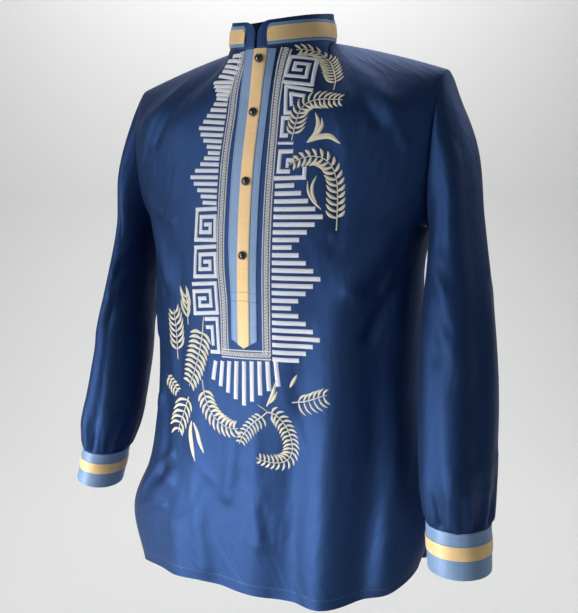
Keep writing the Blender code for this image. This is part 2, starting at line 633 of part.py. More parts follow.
# Buttons: small domes, turned, seated on the ribbon
over_stripe = over_placket + RIBBON + LIFT
for number, down in enumerate(BUTTONS, 1):
    mesh = bpy.data.meshes.new(f"button_{number}")
    profile = list(BUTTON_PROFILE) + [(0.0, 0.0)]
    mesh.from_pydata([(r, 0, z) for r, z in profile], [(i, i + 1) for i in range(len(profile) - 1)], [])
    button = bpy.data.objects.new(f"button_{number}", mesh)
    shirt.objects.link(button)
    turn = button.modifiers.new("turned", "SCREW")
    turn.steps = turn.render_steps = BUTTON_SIDES
    turn.use_merge_vertices = True
    turn.merge_threshold = 0.00005
    seat = on_front(np.array(0.0), np.array(down), over_stripe)
    toward = on_front(np.array(0.0), np.array(down), over_stripe + 1.0) - seat
    button.location = seat
    button.rotation_euler = (math.atan2(-toward[1], toward[2]), 0, 0)
    give_material(mesh, DARK)
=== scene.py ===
"""Looks of a long sleeved barong shirt in navy satin, filled out as it is worn, with no wearer.

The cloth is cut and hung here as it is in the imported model, in finer steps and with its smaller creases.
Sizes are in metres. The front faces -Y and the wearer's left is at +X.
"""

import math
from collections import namedtuple

import bmesh
import bpy
import numpy as np
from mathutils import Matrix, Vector


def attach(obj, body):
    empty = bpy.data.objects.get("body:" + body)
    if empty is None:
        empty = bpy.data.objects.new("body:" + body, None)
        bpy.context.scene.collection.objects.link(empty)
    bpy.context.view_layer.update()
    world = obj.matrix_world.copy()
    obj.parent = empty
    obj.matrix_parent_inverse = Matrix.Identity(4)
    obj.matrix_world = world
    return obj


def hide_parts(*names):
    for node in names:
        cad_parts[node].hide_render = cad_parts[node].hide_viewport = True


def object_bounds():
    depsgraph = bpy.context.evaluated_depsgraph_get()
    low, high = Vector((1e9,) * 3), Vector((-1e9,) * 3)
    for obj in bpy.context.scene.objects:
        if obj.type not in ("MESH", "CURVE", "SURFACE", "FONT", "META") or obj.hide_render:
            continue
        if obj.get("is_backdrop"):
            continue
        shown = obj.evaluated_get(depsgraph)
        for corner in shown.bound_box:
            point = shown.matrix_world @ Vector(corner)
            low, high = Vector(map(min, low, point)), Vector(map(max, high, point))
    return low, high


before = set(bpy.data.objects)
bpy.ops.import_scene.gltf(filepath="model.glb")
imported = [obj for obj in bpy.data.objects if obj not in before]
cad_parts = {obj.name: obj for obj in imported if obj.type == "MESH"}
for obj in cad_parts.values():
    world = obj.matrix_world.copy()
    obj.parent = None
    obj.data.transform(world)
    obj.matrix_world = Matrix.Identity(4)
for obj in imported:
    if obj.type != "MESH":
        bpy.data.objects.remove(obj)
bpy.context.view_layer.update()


# Front panel
# One piece of navy satin, cut wide and hung from the shoulder seams. It is turned up along the hem with one
# row of stitches, and joined to the back at the sides down to the slits.

# The solid's wall is CLOTH thick, and the cloth that is shown is the outer SHELL of it.
CLOTH, SHELL = 0.0015, 0.0010
NECK_HALF, NECK_FRONT, NECK_BACK = 0.074, 0.074, 0.070
NECK_FRONT_DROP, NECK_SIDE_DROP, NECK_BACK_RISE = 0.016, 0.005, 0.010
NECK_SHARE = 0.5
TIP_X, TIP_Z = 0.243, -0.052
ARMPIT_X, ARMPIT_Z = 0.222, -0.250
ARMHOLE_DEPTH = {-1: 0.040, 1: 0.062}
ARMHOLE_SWELL = 0.004
SQUARENESS = 0.85
PANEL_TOP = -0.015
OVER_SHOULDER, INTO_NECK = (0.68, 0.21), (0.21, 1.0)
NECK_EASE_FROM, NECK_EASE_TO = 0.20, 0.57
TOP_FADE = 0.07
SLIT_HEIGHT = -0.707
SHOULDER_BEND, CHEST_ROUND = 0.25, 2.2
EDGE_FROM = 0.6
UNDER_ARM_REACH = 1.2
FOLD_START = 0.35

# Rings round the body, from the hem up: the height in the middle and at both side seams, half widths, depths,
# how far the right seam lies from the middle line, and how much of half a ring each panel covers.
Level = namedtuple(
    "Level",
    "name height right_z left_z right_x left_x front back seam front_reach back_reach",
    defaults=(1.0, 1.0),
)
BODY = (
    Level("hem", -0.783, -0.812, -0.722, 0.246, 0.226, 0.101, 0.112, -0.016, 0.92, 0.88),
    Level("slit_top", -0.708, -0.728, -0.660, 0.264, 0.238, 0.103, 0.114, -0.024),
    Level("hip", -0.610, -0.622, -0.590, 0.226, 0.226, 0.104, 0.114, -0.012),
    Level("waist", -0.490, -0.490, -0.490, 0.212, 0.212, 0.105, 0.108, 0.0),
    Level("ribs", -0.380, -0.380, -0.380, 0.211, 0.211, 0.107, 0.110, 0.0),
    Level("under_arm", -0.290, -0.290, -0.290, 0.213, 0.213, 0.107, 0.113, 0.0),
    Level("armpit", -0.250, ARMPIT_Z, ARMPIT_Z, ARMPIT_X, ARMPIT_X, 0.105, 0.114, 0.0),
)
# Sections between the armholes. Along is the share of the armhole from the armpit to the shoulder tip.
Chest = namedtuple("Chest", "name along height front back flat gather")
CHEST = (
    Chest("chest", 0.36, -0.172, 0.098, 0.116, 0.62, 0.2),
    Chest("collarbone", 0.70, -0.090, 0.084, 0.103, 0.80, 0.55),
)

# A fold lifts the cloth along a line between two places, given by x and z. Bow bends the line aside.
Fold = namedtuple("Fold", "x1 z1 x2 z2 bow width depth")


def folds(*rows):
    """Folds from rows in millimetres."""
    return [Fold(*np.array(row) / 1000) for row in rows]


FRONT_FOLDS = folds(
    (140, -300, 112, -800, 0, 30, 14), (60, -560, 45, -800, 0, 26, -7),
    (-120, -620, -135, -800, 0, 30, 8), (-50, -660, -55, -800, 0, 28, -5),
    (205, -235, 150, -330, 0, 16, 7), (-200, -230, -150, -330, 0, 16, 7),
    (-215, -700, -150, -640, 0, 14, 6), (-110, -28, -205, -110, 0, 14, 4),
    (110, -30, 200, -105, 0, 14, 4), (94, -34, 180, -122, 6, 7, -3), (132, -34, 214, -150, 8, 6, 2.8),
    (-90, -36, -170, -135, -6, 7, -3), (-130, -36, -208, -160, -8, 6, 2.6),
    (208, -215, 128, -262, 8, 7, 3), (206, -255, 168, -395, 7, 9, -4), (212, -240, 186, -330, 4, 6, 3),
    (-206, -205, -132, -248, -8, 7, 2.8), (-206, -236, -160, -352, -6, 8, -3.8),
    (-204, -268, -186, -420, -4, 8, 3.6), (176, -330, 164, -780, 10, 20, -8),
    (88, -390, 74, -780, -8, 18, -4), (196, -470, 190, -740, 6, 14, 5),
    (-236, -706, -146, -600, 12, 8, 4), (-240, -716, -160, -684, 6, 6, 3.4),
    (-222, -690, -182, -520, 10, 9, 4.6), (-226, -660, -198, -540, 4, 7, -3.6),
    (-160, -470, -172, -640, 6, 12, -4), (-90, -520, -80, -760, -10, 16, 3.4),
    (-22, -450, -34, -640, 6, 12, 2.6), (26, -460, 20, -700, -8, 14, 3),
    (-118, -300, -128, -470, 6, 12, -2.2), (118, -140, 128, -280, 8, 12, -2.2),
    (-4, -600, 30, -690, 10, 8, -1.8), (-110, -560, -60, -620, -8, 8, 1.8),
    (-80, -640, -130, -700, 8, 7, -1.8), (60, -480, 88, -560, 6, 8, 1.8),
)


def unit(vectors):
    return vectors / np.maximum(np.linalg.norm(vectors, axis=-1, keepdims=True), 1e-12)


def evenly(count):
    return np.linspace(0.0, 1.0, count + 1)


def travelled(points):
    """How far along a line each of its points lies."""
    return np.concatenate([[0.0], np.cumsum(np.linalg.norm(np.diff(points, axis=0), axis=1))])


def between(at, places, rows):
    """Rows of numbers, known at some places, read at others."""
    return np.stack([np.interp(at, places, column) for column in rows.T], axis=-1)


def spline(rows, knots, at, last_slope=None):
    """A smooth curve through rows of points, read at the given places between the knots."""
    knots = np.asarray(knots, float)
    steps = np.diff(knots)
    rises = np.diff(rows, axis=0) / steps[:, None, None]
    slopes = np.empty_like(rows)
    slopes[0], slopes[-1] = rises[0], rises[-1]
    before, after = steps[:-1, None, None], steps[1:, None, None]
    slopes[1:-1] = (rises[:-1] * after + rises[1:] * before) / (before + after)
    if last_slope is not None:
        slopes[-1] = last_slope
    i = np.clip(np.searchsorted(knots, at, side="right") - 1, 0, len(steps) - 1)
    step = steps[i][:, None, None]
    t = ((np.asarray(at) - knots[i]) / steps[i])[:, None, None]
    ahead = slopes[i] * step * t * (1 - t) ** 2 + slopes[i + 1] * step * t**2 * (t - 1)
    return rows[i] * (1 + 2 * t) * (1 - t) ** 2 + rows[i + 1] * t**2 * (3 - 2 * t) + ahead


def surface_normals(points, closed=False):
    """A unit normal at each point of a grid, turned away from the middle of its row."""
    if closed:
        across = np.roll(points, -1, axis=1) - np.roll(points, 1, axis=1)
    else:
        across = np.gradient(points, axis=1)
    normals = unit(np.cross(across, np.gradient(points, axis=0)))
    outward = points - (points.mean(axis=1, keepdims=True) * (1 if closed else 0))
    outward[..., 2] = 0
    return normals * np.sign((normals * outward).sum())


def lifted(x, z, folds):
    """How far the folds lift the cloth: soft ridges and troughs with round ends, that grow along them."""
    lift = np.zeros(np.broadcast(x, z).shape)
    for fold in folds:
        run, rise = fold.x2 - fold.x1, fold.z2 - fold.z1
        length = math.hypot(run, rise)
        along = ((x - fold.x1) * run + (z - fold.z1) * rise) / length**2
        inside = np.clip(along, 0.0, 1.0)
        aside = ((z - fold.z1) * run - (x - fold.x1) * rise) / length - fold.bow * np.sin(math.pi * inside)
        away = np.hypot(aside, (along - inside) * length)
        grown = FOLD_START + (1 - FOLD_START) * inside
        lift += fold.depth * grown * np.exp(-((away / fold.width) ** 2))
    return lift


def armhole_points(along, side, facing):
    """Points of the armhole seam, from armpit 0 to shoulder tip 1. Side is +1 on the left."""
    x = ARMPIT_X + (TIP_X - ARMPIT_X) * along + ARMHOLE_SWELL * np.sin(math.pi * along)
    y = facing * ARMHOLE_DEPTH[facing] * np.sin(math.pi * along)
    z = ARMPIT_Z + (TIP_Z - ARMPIT_Z) * (1 - np.cos(math.pi * along)) / 2
    return np.stack([side * x, y, z], axis=-1)


def neck_points(turn, facing):
    """Points of the neckline, from one side of the neck at -1 over the middle at 0 to the other at 1."""
    angle = turn * math.pi / 2
    middle_z = (-NECK_FRONT_DROP if facing < 0 else NECK_BACK_RISE) + NECK_SIDE_DROP
    depth = NECK_FRONT if facing < 0 else NECK_BACK
    z = middle_z * np.cos(angle) ** 1.5 - NECK_SIDE_DROP
    return np.stack([NECK_HALF * np.sin(angle), facing * depth * np.cos(angle), z], axis=-1)


def body_row(level, facing, places):
    """Half of a ring round the body, where places run from -1 at the right side seam to 1 at the left."""
    reach, depth = (level.front_reach, level.front) if facing < 0 else (level.back_reach, level.back)
    angle = places * reach * math.pi / 2
    width = np.where(places < 0, level.right_x, level.left_x)
    side_z = np.where(places < 0, level.right_z, level.left_z)
    z = level.height + (side_z - level.height) * places**2
    y = facing * depth * np.cos(angle) ** SQUARENESS + level.seam * np.maximum(-places, 0) ** 3
    return np.stack([width * np.sin(angle), y, z], axis=-1)


def top_row(places, facing):
    """The neckline with a shoulder seam on each side of it."""
    beyond = np.clip((np.abs(places) - NECK_SHARE) / (1 - NECK_SHARE), 0, 1)
    neck = neck_points(np.clip(places / NECK_SHARE, -1, 1), facing)
    x = np.sign(places) * (NECK_HALF + (TIP_X - NECK_HALF) * beyond)
    fallen = (1 - SHOULDER_BEND) * beyond + SHOULDER_BEND * beyond**2
    z = -NECK_SIDE_DROP + (TIP_Z + NECK_SIDE_DROP) * fallen
    shoulder = np.stack([x, 0 * places, z], axis=-1)
    return np.where((np.abs(places) <= NECK_SHARE)[:, None], neck, shoulder)


def chest_row(station, facing, places):
    """A section between the armholes."""
    edge = armhole_points(np.array(station.along), 1, facing)
    top_x = top_row(places, facing)[:, 0] / TIP_X
    share = (1 - station.gather) * np.sin(places * math.pi / 2) + station.gather * top_x
    depth = facing * (station.front if facing < 0 else station.back)
    y = edge[1] + (depth - edge[1]) * np.maximum(1 - np.abs(share) ** CHEST_ROUND, 0) ** station.flat
    z = station.height + (edge[2] - station.height) * np.abs(share) ** 2
    return np.stack([edge[0] * share, y, z], axis=-1)


def near_edge(places, side):
    """1 at the edge of a panel on this side, falling softly to 0 further in."""
    return np.clip((side * places - EDGE_FROM) / (1 - EDGE_FROM), 0, 1)[None, :, None] ** 2


def panel(facing, places, low_at, arm_at, folds):
    """The grid of a panel: rows from the hem up to the neck and shoulders, and places across."""
    rows = [body_row(level, facing, places) for level in BODY]
    rows += [chest_row(station, facing, places) for station in CHEST]
    rows.append(top_row(places, facing))
    knots = [row.height for row in BODY + CHEST] + [PANEL_TOP]
    low = knots[0] + (ARMPIT_Z - knots[0]) * low_at
    along = [0.0] + [station.along for station in CHEST] + [1.0]
    at = np.concatenate([low, np.interp(arm_at[1:], along, knots[len(BODY) - 1 :])])
    over_shoulder = np.array((0.0, -facing * OVER_SHOULDER[0], OVER_SHOULDER[1]))
    into_neck = np.array((0.0, -facing * INTO_NECK[0], INTO_NECK[1]))
    at_neck = np.clip((NECK_EASE_TO - np.abs(places)) / (NECK_EASE_TO - NECK_EASE_FROM), 0, 1)[:, None]
    grid = spline(np.array(rows), knots, at, into_neck * at_neck + over_shoulder * (1 - at_neck))
    for side, column in ((-1, 0), (1, -1)):
        shift = armhole_points(arm_at, side, facing) - grid[len(low_at) - 1 :, column]
        grid[len(low_at) - 1 :] += shift[:, None, :] * near_edge(places, side)
    lift = lifted(grid[..., 0], grid[..., 2], folds)
    fade = (1 - np.abs(places) ** 8)[None, :] * np.clip((PANEL_TOP - at) / TOP_FADE, 0, 1)[:, None]
    return grid + surface_normals(grid) * (lift * fade)[..., None]


def panel_places(neck_steps, shoulder_steps):
    shoulder = NECK_SHARE + (1 - NECK_SHARE) * evenly(shoulder_steps)[1:]
    neck = NECK_SHARE * (2 * evenly(neck_steps) - 1)
    return np.concatenate([-shoulder[::-1], neck, shoulder])


def join_sides(front, back, rows):
    """Moves the two panels' side edges to the line halfway between them, in these rows."""
    for column, side in ((0, -1), (-1, 1)):
        seam = (front[rows, column] + back[rows, column]) / 2
        for grid, places in ((front, front_places), (back, back_places)):
            grid[rows] += (seam - grid[rows, column])[:, None, :] * near_edge(places, side)


def armhole_outward(points):
    """Outward at each point of an armhole, in its plane, and longer under the arm."""
    outward = points - points.mean(axis=0)
    outward[:, 0] = 0
    outward = unit(outward)
    return outward * (1 + UNDER_ARM_REACH * np.maximum(-outward[:, 2:], 0) ** 6)


def cloth_uv(grid, closed=False):
    """How far across and down each point of a grid lies on its cloth, in metres."""
    if closed:
        grid = np.concatenate([grid, grid[:, :1]], axis=1)
    across = np.cumsum(np.pad(np.linalg.norm(np.diff(grid, axis=1), axis=2), ((0, 0), (1, 0))), axis=1)
    down = np.cumsum(np.pad(np.linalg.norm(np.diff(grid, axis=0), axis=2), ((1, 0), (0, 0))), axis=0)
    return np.stack([across - across[:, -1].mean() / 2, down], axis=-1)


def walls(grid, normals):
    """Inner and outer grids of the cloth that is shown over a grid."""
    return grid + normals * (CLOTH - SHELL), grid + normals * CLOTH


def mesh_on_cloth(name, points, faces, uv, *materials):
    """A mesh whose UV map, given corner by corner, says where it lies on the cloth."""
    mesh = bpy.data.meshes.new(name)
    mesh.from_pydata(points.tolist(), [], faces.tolist())
    mesh.uv_layers.new(name="cloth").data.foreach_set("uv", uv.astype(np.float32).ravel())
    for material in materials:
        mesh.materials.append(material)
    return mesh


def grid_quads(numbers):
    """The corners of each square of a grid of numbered points."""
    upper, lower = numbers[:-1], numbers[1:]
    return np.stack([upper[:, :-1], upper[:, 1:], lower[:, 1:], lower[:, :-1]], axis=-1).reshape(-1, 4)


def shell(piece, inner, outer, outside, inside=None, closed=False):
    """The thin closed wall of a piece of cloth, between two grids."""
    uv = cloth_uv(outer, closed)
    behind = inner.shape[0] * inner.shape[1]
    numbers = np.arange(behind).reshape(inner.shape[:2])
    if closed:
        numbers = np.concatenate([numbers, numbers[:, :1]], axis=1)
    charted = np.arange(numbers.size).reshape(numbers.shape)
    quads, chart = grid_quads(numbers), grid_quads(charted)
    faces, charts = [quads + behind, quads[:, ::-1]], [chart, chart[:, ::-1]]
    rims = [(numbers[row], charted[row]) for row in (0, -1)]
    if not closed:
        rims += [(numbers[:, column], charted[:, column]) for column in (0, -1)]
    for line, places in rims:
        faces.append(np.stack([line[:-1], line[1:], line[1:] + behind, line[:-1] + behind], axis=1))
        charts.append(np.stack([places[:-1], places[1:], places[1:], places[:-1]], axis=1))
    points = np.concatenate([inner.reshape(-1, 3), outer.reshape(-1, 3)])
    at_corners = uv.reshape(-1, 2)[np.concatenate(charts).ravel()]
    name = f"{piece}_cloth"
    mesh = mesh_on_cloth(name, points, np.concatenate(faces), at_corners, outside, inside or outside)
    of_inside = np.zeros(len(mesh.polygons), np.int32)
    of_inside[len(quads) : 2 * len(quads)] = 1
    mesh.polygons.foreach_set("material_index", of_inside)
    worked = bmesh.new()
    worked.from_mesh(mesh)
    face_outward(worked, mesh)
    return show(name, mesh, piece)


def face_outward(worked, mesh):
    """Puts the worked faces into the mesh, all turned outward."""
    bmesh.ops.recalc_face_normals(worked, faces=worked.faces)
    worked.to_mesh(mesh)
    worked.free()


def placed(name, data, at=(0, 0, 0), facing=None, axis="Z"):
    """A new object in the scene, here and with this axis turned to face a direction."""
    made = bpy.data.objects.new(name, data)
    made.location = at
    if facing is not None:
        made.rotation_mode = "QUATERNION"
        made.rotation_quaternion = Vector(facing).to_track_quat(axis, "Y")
    bpy.context.scene.collection.objects.link(made)
    return made


def show(name, mesh, instead_of=None):
    """An object of this mesh, smooth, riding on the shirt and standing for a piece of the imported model."""
    mesh.shade_smooth()
    mesh.set_sharp_from_angle(angle=math.radians(50))
    made = placed(name, mesh)
    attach(made, "root")
    if instead_of:
        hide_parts(instead_of)
    return made


def feed(tree, socket, value):
    """Gives a shader input a number, a colour or another node's output."""
    if isinstance(value, bpy.types.NodeSocket):
        tree.links.new(value, socket)
    else:
        socket.default_value = value


def add(tree, kind, label=None, **values):
    """A shader node with these settings and inputs."""
    made = tree.nodes.new(kind)
    if label:
        made.label = label
    for key, value in values.items():
        if key in made.inputs:
            feed(tree, made.inputs[key], value)
        else:
            setattr(made, key, value)
    return made


def math_node(tree, operation, *values):
    made = add(tree, "ShaderNodeMath", operation=operation)
    for socket, value in zip(made.inputs, values):
        feed(tree, socket, value)
    return made.outputs[0]


def mixed(tree, label, mask, below, above):
    """One colour over another where the mask is 1. The lower one may be another node's output."""
    mix = add(tree, "ShaderNodeMix", label, data_type="RGBA", Factor=mask)
    feed(tree, mix.inputs[6], below if isinstance(below, bpy.types.NodeSocket) else (*below, 1.0))
    mix.inputs[7].default_value = (*above, 1.0)
    return mix.outputs[2]


def cloth_axes(tree):
    """How far across and down the cloth, in metres, as two outputs."""
    place = add(tree, "ShaderNodeUVMap", uv_map="cloth")
    apart = add(tree, "ShaderNodeSeparateXYZ", Vector=place.outputs["UV"])
    return apart.outputs["X"], apart.outputs["Y"]


def node_group(name, inputs, outputs):
    """A new shader group with these named inputs and outputs."""
    tree = bpy.data.node_groups.new(name, "ShaderNodeTree")
    for way, sockets in (("OUTPUT", outputs), ("INPUT", inputs)):
        for label, kind in sockets.items():
            tree.interface.new_socket(label, in_out=way, socket_type=f"NodeSocket{kind}")
    return tree, tree.nodes.new("NodeGroupInput").outputs, tree.nodes.new("NodeGroupOutput").inputs


def new_material(name, constants):
    """A material whose surface has these constant values, and its node tree."""
    made = bpy.data.materials.new(name)
    made.use_nodes = True
    surface(made.node_tree, constants)
    return made, made.node_tree


def surface(tree, values):
    """Gives the material's surface shader these values."""
    for key, value in values.items():
        feed(tree, tree.nodes["Principled BSDF"].inputs[key], value)


def cloth_group():
    """Satin seen close: fine uneven threads, broad soft patches and the small buckles of hung cloth."""
    outputs = {"Tint": "Float", "Rough": "Float", "Normal": "Vector"}
    tree, given, out = node_group("satin_threads", {"Buckle": "Float", "Thread": "Float"}, outputs)
    place = add(tree, "ShaderNodeUVMap", uv_map="cloth").outputs["UV"]

    def noise(across, down, detail, label):
        """Noise with this many waves to a metre across and down the cloth."""
        stretched = add(tree, "ShaderNodeMapping", label, Vector=place, Scale=(across, down, 1.0))
        made = add(tree, "ShaderNodeTexNoise", label, Scale=1.0, Detail=detail, Roughness=0.55)
        feed(tree, made.inputs["Vector"], stretched.outputs["Vector"])
        return made.outputs["Fac"]

    slub = noise(700.0, 18.0, 2.0, "slubs down the cloth")
    threads = math_node(tree, "ADD", slub, noise(26.0, 800.0, 2.0, "slubs across the cloth"))
    patch = noise(22.0, 16.0, 3.0, "soft patches")
    buckle = noise(30.0, 13.0, 2.0, "small buckles")
    buckle = math_node(tree, "MULTIPLY_ADD", noise(75.0, 34.0, 1.0, "ripples"), 0.25, buckle)
    tint = math_node(tree, "MULTIPLY_ADD", threads, 0.22, 0.78)
    tint = math_node(tree, "ADD", tint, math_node(tree, "MULTIPLY_ADD", patch, 0.36, -0.18))
    rough = math_node(tree, "MULTIPLY_ADD", patch, 0.16, -0.08)
    rough = math_node(tree, "ADD", rough, math_node(tree, "MULTIPLY", threads, 0.05))
    soft = add(tree, "ShaderNodeBump", "buckles", Distance=0.006, Strength=given["Buckle"], Height=buckle)
    fine = add(tree, "ShaderNodeBump", "threads", Distance=0.0003, Strength=given["Thread"], Height=threads)
    feed(tree, fine.inputs["Normal"], soft.outputs["Normal"])
    for name, value in (("Tint", tint), ("Rough", rough), ("Normal", fine.outputs["Normal"])):
        feed(tree, out[name], value)
    return tree


def stitch_group():
    """One straight row of stitches across the cloth: 1 on the threads, 0 elsewhere."""
    half_thread, to_a_metre, sewn = 0.00035, 330.0, 0.7
    tree, given, out = node_group("stitch_row", {"Along": "Float", "Away": "Float"}, {"Mask": "Float"})
    near = math_node(tree, "LESS_THAN", math_node(tree, "ABSOLUTE", given["Away"]), half_thread)
    stitch = math_node(tree, "FRACT", math_node(tree, "MULTIPLY", given["Along"], to_a_metre))
    feed(tree, out["Mask"], math_node(tree, "MULTIPLY", near, math_node(tree, "LESS_THAN", stitch, sewn)))
    return tree


THREADS, STITCHES = cloth_group(), stitch_group()


def satin(name, colour, rough, metallic, sheen, buckle, thread, rows=(), thread_colour=(0.10, 0.14, 0.25)):
    """A satin. Each row of stitches is (axis, place): across the cloth at a distance down it, or down."""
    constants = {
        "Metallic": metallic, "Specular IOR Level": 0.25, "Sheen Weight": sheen, "Sheen Roughness": 0.35,
        "Sheen Tint": (*[0.4 + 0.6 * value for value in colour], 1.0),
    }
    material, tree = new_material(name, constants)
    weave = add(tree, "ShaderNodeGroup", "weave", node_tree=THREADS, Buckle=buckle, Thread=thread)
    tint = weave.outputs["Tint"]
    shown = add(tree, "ShaderNodeVectorMath", "uneven dye", operation="SCALE", Vector=colour, Scale=tint)
    shown = shown.outputs["Vector"]
    across, down = cloth_axes(tree)
    for axis, at in rows:
        along, away = (across, down) if axis == "across" else (down, across)
        away = math_node(tree, "SUBTRACT", away, at)
        row = add(tree, "ShaderNodeGroup", "row of stitches", node_tree=STITCHES, Along=along, Away=away)
        shown = mixed(tree, "stitches over cloth", row.outputs["Mask"], shown, thread_colour)
    rough = math_node(tree, "ADD", weave.outputs["Rough"], rough)
    surface(tree, {"Base Color": shown, "Roughness": rough, "Normal": weave.outputs["Normal"]})
    return material


NAVY = (0.019, 0.049, 0.140)
navy_hemmed = satin("navy_satin_hemmed", NAVY, 0.53, 0.80, 0.05, 0.34, 0.30, (("across", 0.016),))
navy = satin("navy_satin", NAVY, 0.53, 0.80, 0.05, 0.34, 0.30)
navy_inside = satin("navy_satin_wrong_side", (0.010, 0.024, 0.080), 0.60, 0.0, 0.15, 0.30, 0.60)

low_at, arm_at = evenly(130), evenly(60)
front_places = panel_places(84, 32)
back_places = panel_places(68, 28)
front = panel(-1, front_places, low_at, arm_at, FRONT_FOLDS)

# Back panel
# One piece of the same satin, without a yoke. It hangs a little fuller than the front and has the same hem.
BACK_FOLDS = folds(
    (100, -300, 120, -800, 0, 34, 10), (-100, -300, -125, -800, 0, 34, 10),
    (0, -420, 10, -800, 0, 40, -10), (200, -240, 130, -340, 0, 18, 8), (-200, -240, -130, -340, 0, 18, 8),
    (90, -36, 190, -130, 6, 8, -3.2), (-84, -32, -186, -122, -6, 8, -3.2),
    (206, -215, 116, -258, 8, 7, 3), (-206, -208, -124, -262, -6, 7, 3),
    (204, -262, 158, -420, 8, 9, -4.2), (-204, -262, -166, -400, -8, 9, -4.2),
    (50, -380, 62, -780, 10, 18, -5), (-52, -400, -70, -780, -8, 18, -4.5),
    (150, -420, 168, -780, -6, 16, -5), (-152, -440, -176, -780, 6, 16, -5),
    (190, -460, 200, -760, 4, 14, 4.5), (-190, -480, -204, -760, -4, 14, 4.5),
    (28, -120, 34, -300, 6, 12, 2.2), (-36, -110, -30, -280, -6, 12, 2.2),
    (-60, -470, 30, -505, 10, 9, 2), (10, -540, 90, -520, -8, 9, 1.8),
)
back = panel(1, back_places, low_at, arm_at, BACK_FOLDS)
hem_height = BODY[0].height
slit_row = math.ceil((len(low_at) - 1) * (SLIT_HEIGHT - hem_height) / (ARMPIT_Z - hem_height))
join_sides(front, back, slice(slit_row, len(low_at) - 1))
front_normals, back_normals = surface_normals(front), surface_normals(back)
low = len(low_at) - 1
for normals, places in ((front_normals, front_places), (back_normals, back_places)):
    on_shoulder = np.clip((np.abs(places) - NECK_SHARE) / 0.04, 0, 1)[:, None]
    normals[-1] = unit(normals[-1] * (1 - on_shoulder) + on_shoulder * np.array((0.0, 0.0, 1.0)))
for side, column in ((-1, 0), (1, -1)):
    seam = (slice(slit_row, low), column)
    together = unit(front_normals[seam] + back_normals[seam])
    front_normals[seam] = back_normals[seam] = together
    loop = np.concatenate([armhole_points(arm_at, side, -1), armhole_points(arm_at[-2:0:-1], side, 1)])
    outward = armhole_outward(loop)
    front_normals[low:, column] = outward[: len(arm_at)]
    back_normals[low:, column] = np.concatenate([outward[:1], outward[: len(arm_at) - 2 : -1]])

made = shell("front", *walls(front, front_normals), navy_hemmed, navy_inside)
made = shell("back", *walls(back, back_normals), navy_hemmed, navy_inside)


# Sleeves
# A long sleeve of the same satin on each side, set into the armhole and gathered a little into its cuff. The
# arms hang slightly bent, so each sleeve breaks at the elbow.
Ring = namedtuple("Ring", "name inner_x inner_z outer_x outer_z middle_y half_y")


def rings(*rows):
    """Rings round an arm, from rows in millimetres."""
    return [Ring(name, *np.array(sizes) / 1000) for name, *sizes in rows]


SLEEVES = {
    "left": rings(
        ("cap", 230, -260, 250, -74, 6, 52),
        ("bicep", 233, -276, 277, -140, 1, 59),
        ("upper", 234, -306, 295, -235, -14, 59),
        ("elbow", 237, -356, 320, -343, -42, 56),
        ("forearm", 245, -485, 338, -485, -66, 64),
        ("wrist", 255, -583, 339, -586, -77, 52),
        ("cuff_edge", 262.5, -613.7, 338.5, -613.2, -81, 41),
    ),
    "right": rings(
        ("cap", 230, -260, 257, -74, 9, 54),
        ("bicep", 233, -276, 274, -140, 3, 58),
        ("upper", 234, -306, 273.5, -235, -6, 56),
        ("elbow", 235, -356, 276, -343, -33, 54),
        ("forearm", 228, -485, 294, -485, -60, 57),
        ("wrist", 238, -578, 310.5, -575, -75, 49),
        ("cuff_edge", 251.5, -613.7, 309.5, -604.2, -81, 40),
    ),
}
SIDES = {"left": 1, "right": -1}
SLEEVE_ROUND = 0.34

# On a sleeve x is the place round it, in turns from the armpit by the front, and z the height. Both are given
# here in thousandths.
SLEEVE_FOLDS = folds(
    (200, -300, 340, -420, 0, 16, 3), (100, -350, 220, -400, 0, 14, -3), (330, -120, 310, -560, 0, 16, 4),
    (620, -330, 800, -390, 0, 16, 6), (300, -540, 300, -610, 0, 10, 5), (430, -550, 420, -612, 0, 9, -4),
    (530, -530, 540, -612, 0, 10, 5), (710, -540, 720, -612, 0, 10, 5), (900, -550, 900, -612, 0, 10, 4),
    (150, -550, 140, -612, 0, 10, 4), (250, -100, 260, -270, 8, 11, -2.2),
    (400, -110, 380, -520, 6, 12, -2.6), (220, -300, 220, -580, -4, 11, -2.4),
    (470, -200, 450, -560, 4, 12, 2.4), (530, -110, 500, -300, 4, 10, 2),
    (680, -120, 660, -270, -6, 10, -2.6), (120, -275, 260, -325, 4, 9, 2.2),
    (130, -312, 280, -372, 5, 8, -1.8), (360, -480, 340, -590, 4, 10, 2.6),
    (800, -360, 620, -440, 8, 10, 3), (780, -430, 760, -580, 6, 11, -3),
    (660, -450, 640, -580, -6, 10, 3),
)
# Gathers stand in a row just above the cuff, at uneven places and lengths.
GATHERS = folds(*(
    (turn + lean, -606 + reach, turn, -606, 2, 4.2, depth)
    for turn, lean, reach, depth in (
        (20, 10, 30, -2.6), (80, -10, 40, 2.4), (120, 10, 26, -2.6), (180, 10, 46, 2.6),
        (220, -10, 30, -3), (265, 5, 52, 2.8), (315, 10, 34, -2.8), (355, 0, 48, 2.6),
        (390, -10, 28, -2.8), (445, 10, 44, 2.6), (490, 0, 32, -2.6), (560, -10, 40, -2.6),
        (610, 10, 36, 2.6), (660, 0, 28, -2.8), (760, 10, 38, -2.6), (810, 0, 30, 2.4),
        (860, -10, 42, -2.6), (950, 10, 34, 2.4),
    )
))


def ring_points(ring, side, turns):
    """Points of a ring, where turns run from 0 at its inner point by the front to 1 behind."""
    angle = 2 * math.pi * turns
    inner = np.array((side * ring.inner_x, ring.middle_y, ring.inner_z))
    outer = np.array((side * ring.outer_x, ring.middle_y, ring.outer_z))
    across = (1 - np.cos(angle))[:, None] / 2
    return inner + (outer - inner) * across - np.outer(np.sin(angle) * ring.half_y, (0, 1, 0))


